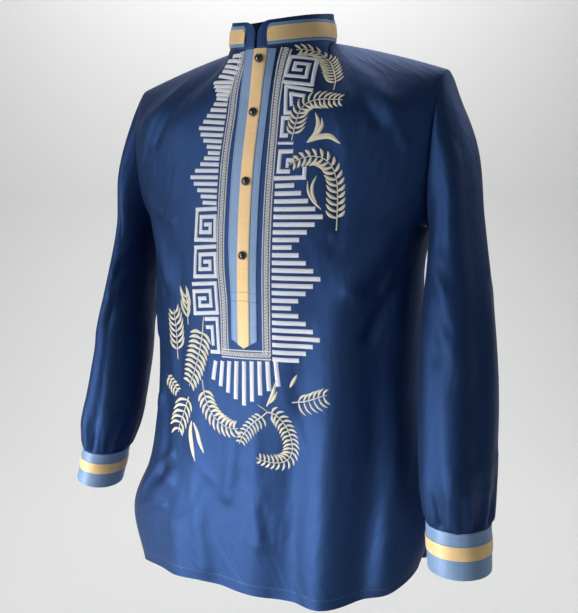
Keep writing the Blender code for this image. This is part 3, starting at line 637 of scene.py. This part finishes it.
def sleeve(armhole, turns, word, steps, folds):
    """The grid of a sleeve: loops from the armhole down to the cuff."""
    rows = np.array([armhole] + [ring_points(ring, SIDES[word], turns) for ring in SLEEVES[word]])
    lengths = np.linalg.norm(np.diff(rows, axis=0), axis=2).mean(axis=1)
    knots = np.concatenate([[0.0], np.cumsum(lengths)])
    grid = spline(rows, knots, knots[-1] * evenly(steps))
    lift = 0
    for shift in (-1, 0, 1):
        x = np.broadcast_to(turns + shift, grid.shape[:2]) * SLEEVE_ROUND
        moved = [fold._replace(x1=fold.x1 * SLEEVE_ROUND, x2=fold.x2 * SLEEVE_ROUND) for fold in folds]
        lift = lift + lifted(x, grid[..., 2], moved)
    fade = np.clip(10 * evenly(steps), 0, 1) * np.clip(60 * (1 - evenly(steps)), 0.3, 1)
    return grid + surface_normals(grid, True) * (lift * fade[:, None])[..., None]


turns = evenly(96)[:-1]
for word, side in SIDES.items():
    ahead, behind = turns[turns <= 0.5] * 2, (1 - turns[turns > 0.5]) * 2
    armhole = np.concatenate([armhole_points(ahead, side, -1), armhole_points(behind, side, 1)])
    grid = sleeve(armhole, turns, word, 130, SLEEVE_FOLDS + GATHERS)
    normals = surface_normals(grid, True)
    normals[0] = armhole_outward(armhole)
    made = shell(f"sleeve_{word}", *walls(grid, normals), navy, navy_inside, True)


# Cuffs
# Straight doubled cuffs of light blue satin, stitched close to both edges, each with a gold ribbon sewn round
# its middle.
CUFFS = {
    "left": rings(
        ("cuff_top", 262, -614, 339, -613.5, -81, 41.5),
        ("cuff_bottom", 268, -670, 343.5, -670.5, -86.8, 41),
    ),
    "right": rings(
        ("cuff_top", 251, -614, 310, -604.5, -81, 40.5),
        ("cuff_bottom", 262, -669, 319, -652, -87, 40),
    ),
}
CUFF_CLOTH, RIBBON, LIFT = 0.0024, 0.0009, 0.0004
STRIPE_HALF, WOVEN_EDGE = 0.0095, 0.0013
RIB_ANGLE = 7500.0
LIGHT_BLUE = (0.200, 0.310, 0.500)
PALE_THREAD = (0.30, 0.42, 0.60)
cuff_satin = satin(
    "light_blue_satin_cuff", LIGHT_BLUE, 0.42, 0.10, 0.30, 0.18, 0.30,
    (("across", 0.0030), ("across", 0.0585)), PALE_THREAD,
)


def ribbon_material(name, edge_colour, rows=()):
    """A gold ribbon with fine ribs, and a woven edge on each side."""
    material = satin(name, (0.880, 0.605, 0.300), 0.45, 0.10, 0.30, 0.10, 0.35, rows, (0.05, 0.06, 0.10))
    tree = material.node_tree
    gold = tree.nodes["Principled BSDF"].inputs["Base Color"].links[0].from_socket
    down = cloth_axes(tree)[1]
    away = math_node(tree, "ABSOLUTE", math_node(tree, "SUBTRACT", down, STRIPE_HALF))
    edge = math_node(tree, "GREATER_THAN", away, STRIPE_HALF - WOVEN_EDGE)
    ribs = math_node(tree, "SINE", math_node(tree, "MULTIPLY", down, RIB_ANGLE))
    ribs = math_node(tree, "MULTIPLY_ADD", ribs, 0.06, 0.97)
    ribbed = add(tree, "ShaderNodeVectorMath", "ribs", operation="SCALE", Vector=gold, Scale=ribs)
    surface(tree, {"Base Color": mixed(tree, "woven edge", edge, ribbed.outputs["Vector"], edge_colour)})
    return material


def puffed(inner, outer, amount, closed=False):
    """The outer grid raised a little between its edges, as doubled cloth is."""
    share = np.sin(math.pi * evenly(len(outer) - 1)) ** 0.5
    return outer + unit(outer - inner) * (share * amount)[:, None, None]


cuff_ribbon = ribbon_material("gold_ribbon_cuff", (0.82, 0.66, 0.43))
face, under_ribbon = (CUFF_CLOTH + CLOTH) / 2, (CUFF_CLOTH + CLOTH) / 2 + LIFT
for word, side in SIDES.items():
    top, bottom = (ring_points(ring, side, turns) for ring in CUFFS[word])
    for name, first, last, steps, low_out, high_out, looks, puff in (
        (f"cuff_{word}", 0.0, 1.0, 24, CLOTH - face, face, cuff_satin, 0.0004),
        (f"cuff_band_{word}", 0.29, 0.58, 10, under_ribbon, under_ribbon + RIBBON, cuff_ribbon, 0.0002),
    ):
        whole = np.array([top + (bottom - top) * share for share in first + (last - first) * evenly(steps)])
        outward = surface_normals(whole, True)
        inner = whole + outward * low_out
        outer = puffed(inner, whole + outward * high_out, puff)
        made = shell(name, inner, outer, looks, closed=True)


# Collar
# A stand collar of navy satin with rounded front ends. A light blue strip lies on its outside, short of the
# edges, and a gold ribbon is sewn along the middle of the strip.
COLLAR_CLOTH = 0.0022
SEAM_GAP, INTO_SEAM = 0.0003, 0.0026
COLLAR_GAP, COLLAR_LEAN, END_CUT = 0.0045, 0.10, 0.98
TURN_STEP = 0.002


def round_neck(turns):
    """Points of the neckline all round: turns run from 0 at the front by the left to 1 at the front again."""
    around = (np.asarray(turns) * 4 + 1) % 4 - 1
    ahead = neck_points(np.clip(np.where(around > 1, 1, around), -1, 1), -1)
    behind = neck_points(np.clip(2 - around, -1, 1), 1)
    return np.where((around <= 1)[:, None], ahead, behind)


def collar_grid(foot, height_at_front, height_at_back, inset, rounding, steps, steps_up):
    """Points of the collar's line: rows from its foot up, along its length with rounded front ends."""
    even = evenly(800)
    lengths = travelled(round_neck(even))
    full = lengths[-1] - 2 * (inset + COLLAR_GAP / 2)
    near_end = rounding * (1 - np.cos(np.linspace(0, math.pi / 2, 19)))
    middle = np.linspace(rounding, full - rounding, steps)
    along = np.concatenate([near_end[:-1], middle, (full - near_end[:-1])[::-1]])
    turns = np.interp(along + inset + COLLAR_GAP / 2, lengths, even)
    base = round_neck(turns)
    tangent = unit(round_neck(turns + TURN_STEP) - round_neck(turns - TURN_STEP))
    outward = unit(np.cross(tangent, (0, 0, 1)))
    outward *= np.sign((outward * base).sum())
    up = unit(np.cross(outward, tangent) * np.sign(np.cross(outward, tangent)[:, 2:]) - COLLAR_LEAN * outward)
    from_end = np.minimum(along, full - along)
    height = height_at_front + (height_at_back - height_at_front) * (1 - np.cos(2 * math.pi * turns)) / 2
    short = np.clip(1 - from_end / rounding, 0, 1)
    height = height - rounding * (1 - np.sqrt(np.maximum(1 - short**2, 0))) * END_CUT
    seat = base + up * (CLOTH + SEAM_GAP + foot)
    rows = seat[None] + up[None] * height[None, :, None] * evenly(steps_up)[:, None, None]
    face = unit(np.cross(up, tangent))
    face *= np.sign((face * outward).sum())
    return rows, np.broadcast_to(face, rows.shape)


collar_satin = satin("navy_satin_collar", NAVY, 0.50, 0.70, 0.06, 0.12, 0.30, (("across", 0.0022),))
strip_satin = satin("light_blue_satin", LIGHT_BLUE, 0.42, 0.10, 0.30, 0.12, 0.30)
collar_ribbon = ribbon_material("gold_ribbon_collar", (0.82, 0.66, 0.43))
rows, face = collar_grid(-INTO_SEAM, 0.034 + INTO_SEAM, 0.039 + INTO_SEAM, 0.0, 0.020, 220, 14)
outer = puffed(rows - face, rows + face * COLLAR_CLOTH / 2, 0.0003)
made = shell("collar", rows - face * COLLAR_CLOTH / 2, outer, collar_satin, navy_inside)
for name, foot, height, out, looks, size in (
    ("collar_panel", 0.0012, 0.028, COLLAR_CLOTH / 2 + LIFT, strip_satin, (0.44, 0.028)),
    ("collar_band", 0.0055, 0.0190, COLLAR_CLOTH / 2 + 2 * LIFT + RIBBON, collar_ribbon, (0.44, 0.019)),
):
    rows, face = collar_grid(foot, height, height, 0.016, 0.008, 220, 8)
    inner, outer = rows + face * out, rows + face * (out + RIBBON)
    made = shell(name, inner, puffed(inner, outer, 0.0002), looks)


# Placket
# A light blue strip with a pointed foot, sewn over the slit down the front's middle. A gold ribbon runs down
# it, and two rows of stitches cross it below the last button.
CHART_STEP, CHART_HALF, CHART_TOP, CHART_END, CHART_FOOT_Z = 0.002, 0.188, -0.040, 0.640, -0.600
PLACKET_LEAN, LEAN_LENGTH = 0.0095, 0.340
PLACKET_TOP, PLACKET_LENGTH, POINT_HEIGHT = 0.0012, 0.405, 0.011
PLACKET_HALF, PLACKET_WIDE = 0.0205, 0.0250
NARROWS_FROM, NARROWS_TO = 0.260, 0.340


def front_chart(grid):
    """Points of the front at each distance down the cloth from the neck and across from the middle."""
    wide = np.arange(-CHART_HALF, CHART_HALF + CHART_STEP / 2, CHART_STEP)
    columns = np.array([between(wide, row[:, 0], row) for row in grid]).transpose(1, 0, 2)
    deep = np.arange(CHART_TOP, CHART_END, CHART_STEP)
    middle = len(wide) // 2
    chart = np.empty((len(deep), len(wide), 3))
    full = None
    for j in [middle] + [j for j in range(len(wide)) if j != middle]:
        column = columns[j]
        lengths = travelled(column)
        lengths -= np.interp(CHART_FOOT_Z, column[:, 2], lengths)
        full = lengths[-1] if full is None else full
        chart[:, j] = between(full - deep, lengths, column)
    return chart


chart = front_chart(front + front_normals * CLOTH)
chart_normals = surface_normals(chart)


def on_front(across, down, out):
    """Points on the front at distances across from the placket's middle and down from the neck, moved out."""
    lean = PLACKET_LEAN * np.clip(1 - down / LEAN_LENGTH, 0, 1) ** 2
    column = np.clip((across + lean + CHART_HALF) / CHART_STEP, 0, chart.shape[1] - 1.001)
    row = np.clip((down - CHART_TOP) / CHART_STEP, 0, chart.shape[0] - 1.001)
    i, j = row.astype(int), column.astype(int)
    a, b = (row - i)[..., None], (column - j)[..., None]
    found = []
    for values in (chart, chart_normals):
        upper = values[i, j] * (1 - b) + values[i, j + 1] * b
        lower = values[i + 1, j] * (1 - b) + values[i + 1, j + 1] * b
        found.append(upper * (1 - a) + lower * a)
    return found[0] + unit(found[1]) * np.asarray(out)[..., None]


def strip_on_front(half, wide, steps_across, steps_down, out, crown):
    """Inner and outer grids of a strip down the front: columns run down it, and rows across."""
    corner = PLACKET_LENGTH - POINT_HEIGHT * half / PLACKET_HALF
    point = corner + (PLACKET_LENGTH - corner) * evenly(6)[1:]
    down = np.concatenate([np.linspace(PLACKET_TOP, corner, steps_down), point])
    to_point = np.clip((PLACKET_LENGTH - down) / (PLACKET_LENGTH - corner), 0.02, 1)
    left = half * to_point
    right = np.interp(down, (NARROWS_FROM, NARROWS_TO), (wide, half)) * to_point
    shares = np.linspace(-1, 1, steps_across + 1)
    across = np.outer(np.maximum(shares, 0), left) - np.outer(np.maximum(-shares, 0), right)
    down = np.broadcast_to(down[None, :], across.shape)
    rise = crown * (1 - np.abs(shares) ** 8)[:, None] + 0 * across
    return on_front(across, down, out + 0 * across), on_front(across, down, out + RIBBON * 0.6 + rise)


STITCHED_DOWN = (("down", 0.1229), ("down", 0.1349))
placket_satin = satin(
    "light_blue_satin_placket", LIGHT_BLUE, 0.42, 0.10, 0.30, 0.20, 0.30,
    STITCHED_DOWN + (("across", 0.0018),), (0.05, 0.06, 0.10),
)
placket_ribbon = ribbon_material("gold_ribbon_placket", (0.62, 0.52, 0.36), STITCHED_DOWN)
inner, outer = strip_on_front(PLACKET_HALF, PLACKET_WIDE, 20, 200, LIFT, 0.0004)
made = shell("placket", inner, outer, placket_satin)
inner, outer = strip_on_front(STRIPE_HALF, STRIPE_HALF, 12, 200, RIBBON + 2 * LIFT, 0.0004)
made = shell("placket_stripe", inner, outer, placket_ribbon)


# Buttons
# Small dark domed buttons of polished plastic on shanks, sewn down the middle of the ribbon.
button_look, tree = new_material("dark_button", {"Coat Weight": 0.8, "Coat Roughness": 0.06})
place = add(tree, "ShaderNodeTexCoord").outputs["Object"]
cloudy = add(tree, "ShaderNodeTexNoise", "clouded plastic", Vector=place, Scale=260.0, Detail=3.0)
cloudy = cloudy.outputs["Fac"]
ramp = add(tree, "ShaderNodeValToRGB", "dark and brown", Fac=cloudy)
dark, brown = ramp.color_ramp.elements
dark.color = (0.006, 0.008, 0.020, 1.0)
brown.color = (0.026, 0.018, 0.018, 1.0)
brown.position = 0.8
rough = math_node(tree, "MULTIPLY_ADD", cloudy, 0.15, 0.12)
surface(tree, {"Base Color": ramp.outputs["Color"], "Roughness": rough})

# The dome's outline from its top, by distance from the middle and height.
DOME = (
    (0.0, 0.0045), (0.0012, 0.0044), (0.0026, 0.0041), (0.0038, 0.0035), (0.0045, 0.0028),
    (0.0048, 0.0023), (0.0052, 0.0021), (0.0057, 0.0022), (0.0060, 0.0019), (0.0061, 0.0014),
    (0.0058, 0.0008), (0.0050, 0.0004), (0.0020, 0.0003), (0.0, 0.0003),
)
BUTTONS_DOWN = (0.0150, 0.0860, 0.178, 0.277)
for number, down in enumerate(BUTTONS_DOWN, 1):
    spot = np.array((0.0,)), np.array((down,))
    seat = on_front(*spot, 2 * RIBBON + 3 * LIFT)[0]
    toward = on_front(*spot, 1.0)[0] - on_front(*spot, 0.0)[0]
    mesh = bpy.data.meshes.new(f"button_{number}_dome")
    worked = bmesh.new()
    line = [worked.verts.new((r, 0, z)) for r, z in DOME]
    edges = [worked.edges.new(pair) for pair in zip(line, line[1:])]
    whole = 2 * math.pi
    bmesh.ops.spin(worked, geom=line + edges, axis=(0, 0, 1), angle=whole, steps=36, use_merge=True)
    bmesh.ops.remove_doubles(worked, verts=worked.verts, dist=0.00001)
    face_outward(worked, mesh)
    mesh.materials.append(button_look)
    mesh.shade_smooth()
    made = placed(f"button_{number}_dome", mesh, seat, toward)
    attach(made, "root")
    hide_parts(f"button_{number}")


# Embroidery
# Worked by machine in silver-white and champagne thread over the front: a braid round the placket, stepped
# bars and square keys beside it, and leafy sprigs round the outside. Every stroke is raised satin stitch.
def thread_material(name, colour, painted_gap_shade, pitch):
    """Shiny thread laid side by side across each stroke, with painted shade in the gaps between the threads.
    """
    constants = {"Sheen Weight": 0.4, "Sheen Roughness": 0.4, "Specular IOR Level": 0.6}
    material, tree = new_material(name, constants)
    place = add(tree, "ShaderNodeUVMap", uv_map="cloth").outputs["UV"]
    uneven = add(tree, "ShaderNodeTexNoise", "uneven thread", Vector=place, Scale=420.0, Detail=2.0)
    uneven = uneven.outputs["Fac"]
    along, across = cloth_axes(tree)
    slant = math_node(tree, "MULTIPLY_ADD", across, 0.25, along)
    lines = math_node(tree, "SINE", math_node(tree, "MULTIPLY", slant, 2 * math.pi / pitch))
    lines = math_node(tree, "ADD", lines, uneven)
    share = math_node(tree, "MULTIPLY_ADD", lines, 0.30, 0.45)
    rough = math_node(tree, "MULTIPLY_ADD", uneven, 0.2, 0.36)
    bump = add(tree, "ShaderNodeBump", "threads", Strength=0.5, Distance=0.0002, Height=lines)
    shown = mixed(tree, "threads and painted gap shade", share, painted_gap_shade, colour)
    surface(tree, {"Base Color": shown, "Roughness": rough, "Normal": bump.outputs["Normal"]})
    return material


def resampled(points, step):
    """The same line with a point at every step along it, corners kept."""
    points = np.asarray(points, float)
    out = [points[:1]]
    for a, b in zip(points, points[1:]):
        count = max(1, int(math.ceil(np.linalg.norm(b - a) / step)))
        out.append(a + (b - a) * evenly(count)[1:, None])
    return np.concatenate(out)


def curved(points, count):
    """A smooth line through the points."""
    points = np.asarray(points, float)[:, None, :]
    if len(points) == 2:
        return points[0] + (points[1] - points[0]) * evenly(count)[:, None]
    knots = travelled(points[:, 0])
    return spline(points, knots, knots[-1] * evenly(count))[:, 0]


def aside_from(line):
    """Square to a flat line at each of its points, towards its left."""
    ahead = unit(np.gradient(line, axis=0))
    return np.stack([-ahead[:, 1], ahead[:, 0]], axis=-1)


def embroidery(name, strokes, material, height):
    """One mesh of many raised strokes. Each is a line of places on the front with its width at each place."""
    off_cloth = 0.00005
    profile = np.array((-1.0, -0.72, 0.0, 0.72, 1.0))
    rise = np.array((0.0, 0.75, 1.0, 0.75, 0.0))
    points, faces, places, count = [], [], [], 0
    for line, widths in strokes:
        line = np.asarray(line, float)
        widths = np.broadcast_to(np.asarray(widths, float), len(line))
        spots = line[:, None, :] + aside_from(line)[:, None, :] * (widths[:, None] / 2 * profile)[..., None]
        ends = np.ones(len(line))
        ends[0] = ends[-1] = 0.3
        fullness = np.minimum(widths / widths.max(), 1) ** 0.5 * ends
        out = height * rise[None, :] * fullness[:, None] + off_cloth
        points.append(on_front(spots[..., 0], spots[..., 1], out).reshape(-1, 3))
        uv = np.stack(np.broadcast_arrays(travelled(line)[:, None], widths[:, None] / 2 * profile), axis=-1)
        places.append(uv.reshape(-1, 2))
        i, j = np.meshgrid(np.arange(len(line) - 1), np.arange(4), indexing="ij")
        corner = count + (i * 5 + j).ravel()
        faces.append(np.stack([corner, corner + 5, corner + 6, corner + 1], axis=1))
        count += len(line) * 5
    points, faces, places = np.concatenate(points), np.concatenate(faces), np.concatenate(places)
    return show(name, mesh_on_cloth(name, points, faces, places[faces.ravel()], material))


# The second colour of each thread is painted shade, laid in the gaps between its threads.
SILVER = thread_material("silver_thread", (0.93, 0.94, 0.98), (0.58, 0.60, 0.68), 0.0009)
# The braid's ground is a dark strip under its silver threads: partly the braid's own grey, partly painted
# shade between the threads.
GREY_AND_PAINTED_SHADE = thread_material("braid_ground_grey_and_painted_shade", (0.17, 0.18, 0.22), (0.07, 0.075, 0.11), 0.0008)
CHAMPAGNE = thread_material("champagne_thread", (0.93, 0.87, 0.66), (0.58, 0.51, 0.34), 0.0010)

# The braid runs down both sides of the placket and across under its point.
BRAID, BRAID_REPEAT = 0.0125, 0.0040
EDGE_THREAD, WAVE_THREAD, WAVE_HALF = 0.0017, 0.0013, 0.0022
braid_left = ((-29, 3), (-30, 16), (-33, 32), (-35.5, 50), (-36, 90), (-37, 112), (-38, 135), (-38.5, 200))
braid_left += ((-39, 250), (-37.5, 300), (-33.5, 345), (-33, 380), (-32.5, 415))
braid_right = ((32.5, -1), (31.2, 15), (31.2, 40), (32, 80), (33.4, 110), (34.3, 140), (34.5, 220))
braid_right += ((34.6, 300), (34.8, 360), (35, 412))
braid_foot = ((-38.7, 415.5), (0, 413.8), (41.2, 411.5))
ground, edges = [], []
for line, count in ((braid_left, 200), (braid_right, 200), (braid_foot, 40)):
    line = curved(np.array(line) / 1000, count)
    aside = aside_from(line)
    ground.append((line, BRAID))
    for shift in (-1, 1):
        edges.append((line + aside * shift * (BRAID / 2 - 0.0007), EDGE_THREAD))
    lengths = travelled(line)
    repeats = int(lengths[-1] / BRAID_REPEAT)
    steps = ((0.0, -1), (0.0, 1), (0.5, 1), (0.5, -1))
    wave = [((k + at) * BRAID_REPEAT, across * WAVE_HALF) for k in range(repeats) for at, across in steps]
    wave = resampled(wave, 0.0009)
    middle, out = (between(wave[:, 0], lengths, rows) for rows in (line, aside))
    edges.append((middle + out * wave[:, 1:], WAVE_THREAD))
embroidery("braid_ground", ground, GREY_AND_PAINTED_SHADE, 0.0003)
embroidery("braid_threads", edges, SILVER, 0.0007)

# Stepped bars stand out from the braid on both sides and hang below it. Each row of the left ones is the
# outer end across and down, then the inner end, in millimetres.
LEFT_BARS = (
    (-52, 4, -32, 7), (-64, 7, -31, 16), (-67, 14, -32, 25), (-69, 21, -36, 31), (-74, 28, -39, 38),
    (-81, 37, -41, 43), (-77, 44, -42, 49), (-72, 50, -43, 55), (-68, 57, -44, 60), (-66, 63, -45, 66),
    (-69, 71, -45, 73), (-73, 79, -45, 81), (-78, 87, -45, 89.5), (-83, 95, -46, 98), (-89, 104, -46, 106.5),
    (-85, 113, -46, 115), (-79, 121.5, -47, 123.5), (-72, 130, -47, 131.5), (-69, 138.5, -48, 139.5),
    (-75, 146, -48, 147), (-81, 154, -48, 155), (-90, 163, -48, 163.5), (-98, 172, -48, 172.5),
    (-91, 181, -48, 181.5), (-84, 190, -48, 190.5), (-77, 198.5, -48, 199), (-73, 207, -48, 207.5),
)
bars = []
for *outer_end, inner_a, inner_d in LEFT_BARS:
    bars.append((resampled(np.array(((inner_a, inner_d), outer_end)) / 1000, 0.005), 0.0054))
BAR_PITCH = 0.0101
for step in range(24):
    reach = 0.071 + BAR_PITCH * (4 - abs(4 - step % 8))
    down = 0.183 + BAR_PITCH * step
    bars.append((resampled([(0.0435, down + 0.001), (reach, down)], 0.005), 0.0060))
for column in range(-4, 5):
    top = 0.4235 - 0.0012 * column
    foot = 0.4865 - 0.0075 * abs(column) - (0.003 if column > 1 else 0.0)
    bars.append((resampled([(0.0123 * column - 0.001, top), (0.0134 * column - 0.002, foot)], 0.006), 0.0068))
embroidery("bars", bars, SILVER, 0.0010)

# Square keys: one winding line each, turned or mirrored from one to the next.
WINDING = ((4, 0), (0, 0), (0, 4), (4, 4), (4, 1), (1, 1), (1, 3), (3, 3), (3, 2), (2, 2))


def key_line(corners, turn=0, mirrored=False, winding=WINDING):
    """The winding line, in quarters of a cell, fitted to the cell with these corners in millimetres."""
    at = np.array(winding, float) / 4
    for _ in range(turn):
        at = np.stack([1 - at[:, 1], at[:, 0]], axis=-1)
    if mirrored:
        at[:, 0] = 1 - at[:, 0]
    a, b = at[:, :1], at[:, 1:]
    top_left, top_right, foot_right, foot_left = np.array(corners) / 1000
    return (top_left * (1 - a) + top_right * a) * (1 - b) + (foot_left * (1 - a) + foot_right * a) * b


keys = []


def add_key(line, width=0.0056):
    """Each straight run is a stroke of its own, run on by half its width to close the corner."""
    for a, b in zip(line, line[1:]):
        along = unit(b - a) * width / 2
        keys.append((resampled([a - along, b + along], 0.005), width))


add_key(key_line(((-83, 217), (-50, 215), (-49, 258), (-85, 259))))
add_key(key_line(((-85, 270), (-49, 267), (-47, 308), (-87, 311))))
add_key(key_line(((-90, 322), (-48, 318), (-45, 359), (-88, 364)), mirrored=True))
half_key = ((-86, 372), (-46, 368), (-44, 415), (-82, 418))
add_key(key_line(half_key, winding=((2.0, 0), (4, 0), (4, 4), (2.7, 4))))
add_key(key_line(half_key, winding=((2.1, 1), (3, 1), (3, 3))))
add_key(key_line(((39.5, 10), (69, 6), (77, 50), (38, 46)), turn=2), 0.0050)
for line, width in (
    (((78, 58), (43, 52), (48, 88), (54, 88)), 0.0052),
    (((69, 66), (52, 63), (55, 77)), 0.0050),
    (((52, 95), (45.5, 95), (46.5, 118), (53, 118)), 0.0056),
    (((44, 128), (63, 128.5)), 0.0036),
    (((63, 139), (47, 139), (47, 165), (61, 165)), 0.0056),
    (((66, 150), (59, 150), (59, 158)), 0.0045),
    (((44, 174), (84, 173), (84, 162)), 0.0056),
):
    add_key(np.array(line) / 1000, width)
embroidery("keys", keys, SILVER, 0.0010)

# Sprigs: a stem with leaflets on both sides that lean towards its tip, where the stem isn't bare. Left and
# right are how far they reach on each hand going along the stem. Leans are in degrees, bare is a share of the
# stem, and the other sizes are in millimetres.
Sprig = namedtuple("Sprig", "stem bare left right left_lean right_lean pairs width")
SPRIGS = (
    Sprig(((107, 57), (105, 44), (98, 28), (89, 12), (79, -1), (67, -7), (55, -6), (43, -1)),
        0.10, 19, 13, 48, 52, 14, 3.4),
    Sprig(((62, 125), (65, 104), (69, 86), (78, 76), (92, 72), (108, 72), (124, 72)),
        0.05, 16, 18, 50, 55, 14, 3.4),
    Sprig(((129, 240), (129, 222), (129, 200), (127, 176), (119, 158), (106, 148), (90, 146),
            (76, 149), (61, 157)),
        0.08, 17, 13, 58, 50, 16, 4.4),
    Sprig(((-103, 382), (-104, 369), (-104, 354), (-107, 338)), 0.12, 30, 24, 28, 8, 4, 4.4),
    Sprig(((-131, 438), (-131, 418), (-132, 392), (-136, 364)), 0.14, 23, 27, 52, 40, 7, 4.0),
    Sprig(((-71, 368), (-73, 386), (-78, 408), (-86, 433), (-95, 455), (-105, 474)),
        0.17, 21, 26, 56, 76, 11, 5.0),
    Sprig(((-77, 460), (-74, 477), (-69, 492), (-61, 505), (-50, 515), (-37, 521), (-24, 523), (-12, 521)),
        0.12, 20, 20, 60, 48, 11, 4.4),
    Sprig(((35, 491), (26, 499), (13, 509), (2, 521), (-5, 531), (-11, 543)), 0.12, 15, 11, 74, 56, 9, 3.2),
    Sprig(((35, 491), (46, 493), (55, 500), (63, 511), (68, 524), (70, 538), (67, 551), (58, 560),
            (45, 563), (30, 562), (18, 559)),
        0.02, 14, 15, 52, 70, 19, 3.2),
    Sprig(((71, 474), (88, 471), (102, 466), (116, 460), (122, 458)), 0.08, 18, 21, 34, 66, 6, 3.0),
    Sprig(((-106, 490), (-113, 506), (-121, 524), (-128, 538), (-131, 549)), 0.0, 19, 34, 48, 46, 6, 4.4),
    Sprig(((-160, 468), (-148, 475), (-138, 481), (-129, 487)), 0.0, 12, 16, 50, 80, 5, 3.6),
)
Leaf = namedtuple("Leaf", "line width")
LEAVES = (
    Leaf(((84, 128), (95, 116), (97, 103), (91, 90)), 6.5),
    Leaf(((88, 126), (99, 115), (103, 106), (101, 97)), 5.5),
    Leaf(((84, 128), (99, 122), (114, 121), (130, 130)), 7.5),
    Leaf(((109, 214), (98, 203), (91, 191), (89, 177)), 4.2),
    Leaf(((103, 206), (97, 195), (96, 183), (101, 171)), 4.4),
    Leaf(((-100, 525), (-103, 542), (-100, 560), (-92, 585)), 8.5),
    Leaf(((-96, 527), (-89, 539), (-85, 552), (-76, 570)), 7.0),
    Leaf(((34, 483), (43, 465), (48, 446)), 5.0),
    Leaf(((38, 479), (45, 471), (50, 460)), 4.0),
    Leaf(((68, 453), (73, 444), (78, 435)), 5.0),
    Leaf(((20, 482), (28, 486), (36, 491)), 1.6),
)
LEAF_WIDTHS = np.array((0.24, 0.68, 0.92, 1.0, 0.90, 0.60, 0.10))
STEM_STEPS, LAST_LEAF, LEAF_SHIFT = 60, 0.97, 0.012
TIP_FROM, TIP_SHRINK, LEAF_BEND = 0.6, 0.45, 0.13
sprigs = []
for sprig in SPRIGS:
    stem = curved(np.array(sprig.stem) / 1000, STEM_STEPS)
    tangent = unit(np.gradient(stem, axis=0))
    sprigs.append((stem[::2], np.linspace(0.0018, 0.0010, len(stem[::2]))))
    for share in sprig.bare + (LAST_LEAF - sprig.bare) * (np.arange(sprig.pairs) + 0.5) / sprig.pairs:
        for side, reach, lean in ((-1, sprig.left, sprig.left_lean), (1, sprig.right, sprig.right_lean)):
            at = share + (LEAF_SHIFT if side > 0 else 0.0)
            root = between(at * STEM_STEPS, np.arange(len(stem)), stem)
            ahead = unit(between(at * STEM_STEPS, np.arange(len(stem)), tangent))
            aside = np.array((-ahead[1], ahead[0])) * side
            lean = math.radians(lean)
            near_tip = max(0.0, (at - TIP_FROM) / (1 - TIP_FROM))
            size = reach / 1000 * (1.0 - TIP_SHRINK * near_tip**1.5)
            tip = root + (ahead * math.cos(lean) + aside * math.sin(lean)) * size
            middle = (root + tip) / 2 + (aside * math.cos(lean) - ahead * math.sin(lean)) * size * LEAF_BEND
            sprigs.append((curved((root, middle, tip), 6), LEAF_WIDTHS * sprig.width / 1000))
for leaf in LEAVES:
    line = curved(np.array(leaf.line) / 1000, 12)
    sprigs.append((line, np.interp(evenly(12), evenly(6), LEAF_WIDTHS) * leaf.width / 1000))
embroidery("sprigs", sprigs, CHAMPAGNE, 0.0010)


# Floor and backdrop
# A plain pale sheet that curves up behind the shirt.
paper, tree = new_material("backdrop_paper", {"Base Color": (0.80, 0.80, 0.79, 1.0), "Roughness": 0.9})
FLOOR_Z, BEND = -1.46, 1.2
profile = [(-4.0, FLOOR_Z)]
for turn in np.linspace(0, math.pi / 2, 17):
    profile.append((2.0 + BEND * math.sin(turn), FLOOR_Z + BEND * (1 - math.cos(turn))))
profile.append((2.0 + BEND, 4.0))
away = (-math.sin(math.radians(30.0)), math.cos(math.radians(30.0)))
mesh = bpy.data.meshes.new("backdrop")
corners = []
for far, z in profile:
    for wide in (-6.0, 6.0):
        corners.append((away[0] * far + away[1] * wide, away[1] * far - away[0] * wide, z))
mesh.from_pydata(corners, [], [(2 * k, 2 * k + 1, 2 * k + 3, 2 * k + 2) for k in range(len(profile) - 1)])
mesh.materials.append(paper)
mesh.shade_smooth()
placed("backdrop", mesh)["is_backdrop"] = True

# Lights
# A large soft light from ahead on the shirt's right, a low narrow one under it for the shine near the hem,
# a weak one on its left, a rim light and one for the paper.
for name, place, aim, size, spread, power in (
    ("key", (-1.75, -2.05, 0.10), (0, 0, -0.45), 1.6, 180.0, 37.0),
    ("low", (-0.90, -1.40, -1.00), (-0.02, -0.1, -0.86), 0.6, 45.0, 3.0),
    ("fill", (2.6, -1.6, 0.6), (0, 0, -0.4), 2.0, 180.0, 4.0),
    ("rim", (1.6, 1.7, 1.2), (0.1, 0, -0.3), 1.0, 180.0, 12.0),
    ("paper", (-0.9, 1.5, 2.6), (-1.6, 2.8, -0.9), 2.2, 180.0, 95.0),
):
    data = bpy.data.lights.new(name, "AREA")
    data.shape = "DISK"
    data.size = size
    data.spread = math.radians(spread)
    data.energy = power
    placed(name, data, place, Vector(aim) - Vector(place), "-Z")
world = bpy.data.worlds.new("studio")
bpy.context.scene.world = world
world.use_nodes = True
world.node_tree.nodes["Background"].inputs["Color"].default_value = (0.80, 0.84, 0.90, 1.0)
world.node_tree.nodes["Background"].inputs["Strength"].default_value = 0.18

# Camera
# At the photo's place: ahead on the wearer's left, a little below the collar and looking slightly down.
azimuth, distance, tilt, yaw = math.radians(30.0), 1.2, math.radians(8.5), math.radians(-0.38)
SENSOR, FOCAL_PIXELS, PHOTO_PIXELS = 36.0, 820.0, 613.0
lens = bpy.data.cameras.new("camera")
lens.sensor_width = SENSOR
lens.lens = FOCAL_PIXELS / PHOTO_PIXELS * SENSOR
heading = azimuth + yaw
look = (-math.sin(heading) * math.cos(tilt), math.cos(heading) * math.cos(tilt), -math.sin(tilt))
eye = (distance * math.sin(azimuth), -distance * math.cos(azimuth), -0.195)
bpy.context.scene.camera = placed("camera", lens, eye, look, "-Z")
bpy.context.scene.view_settings.view_transform = "Standard"

low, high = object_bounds()
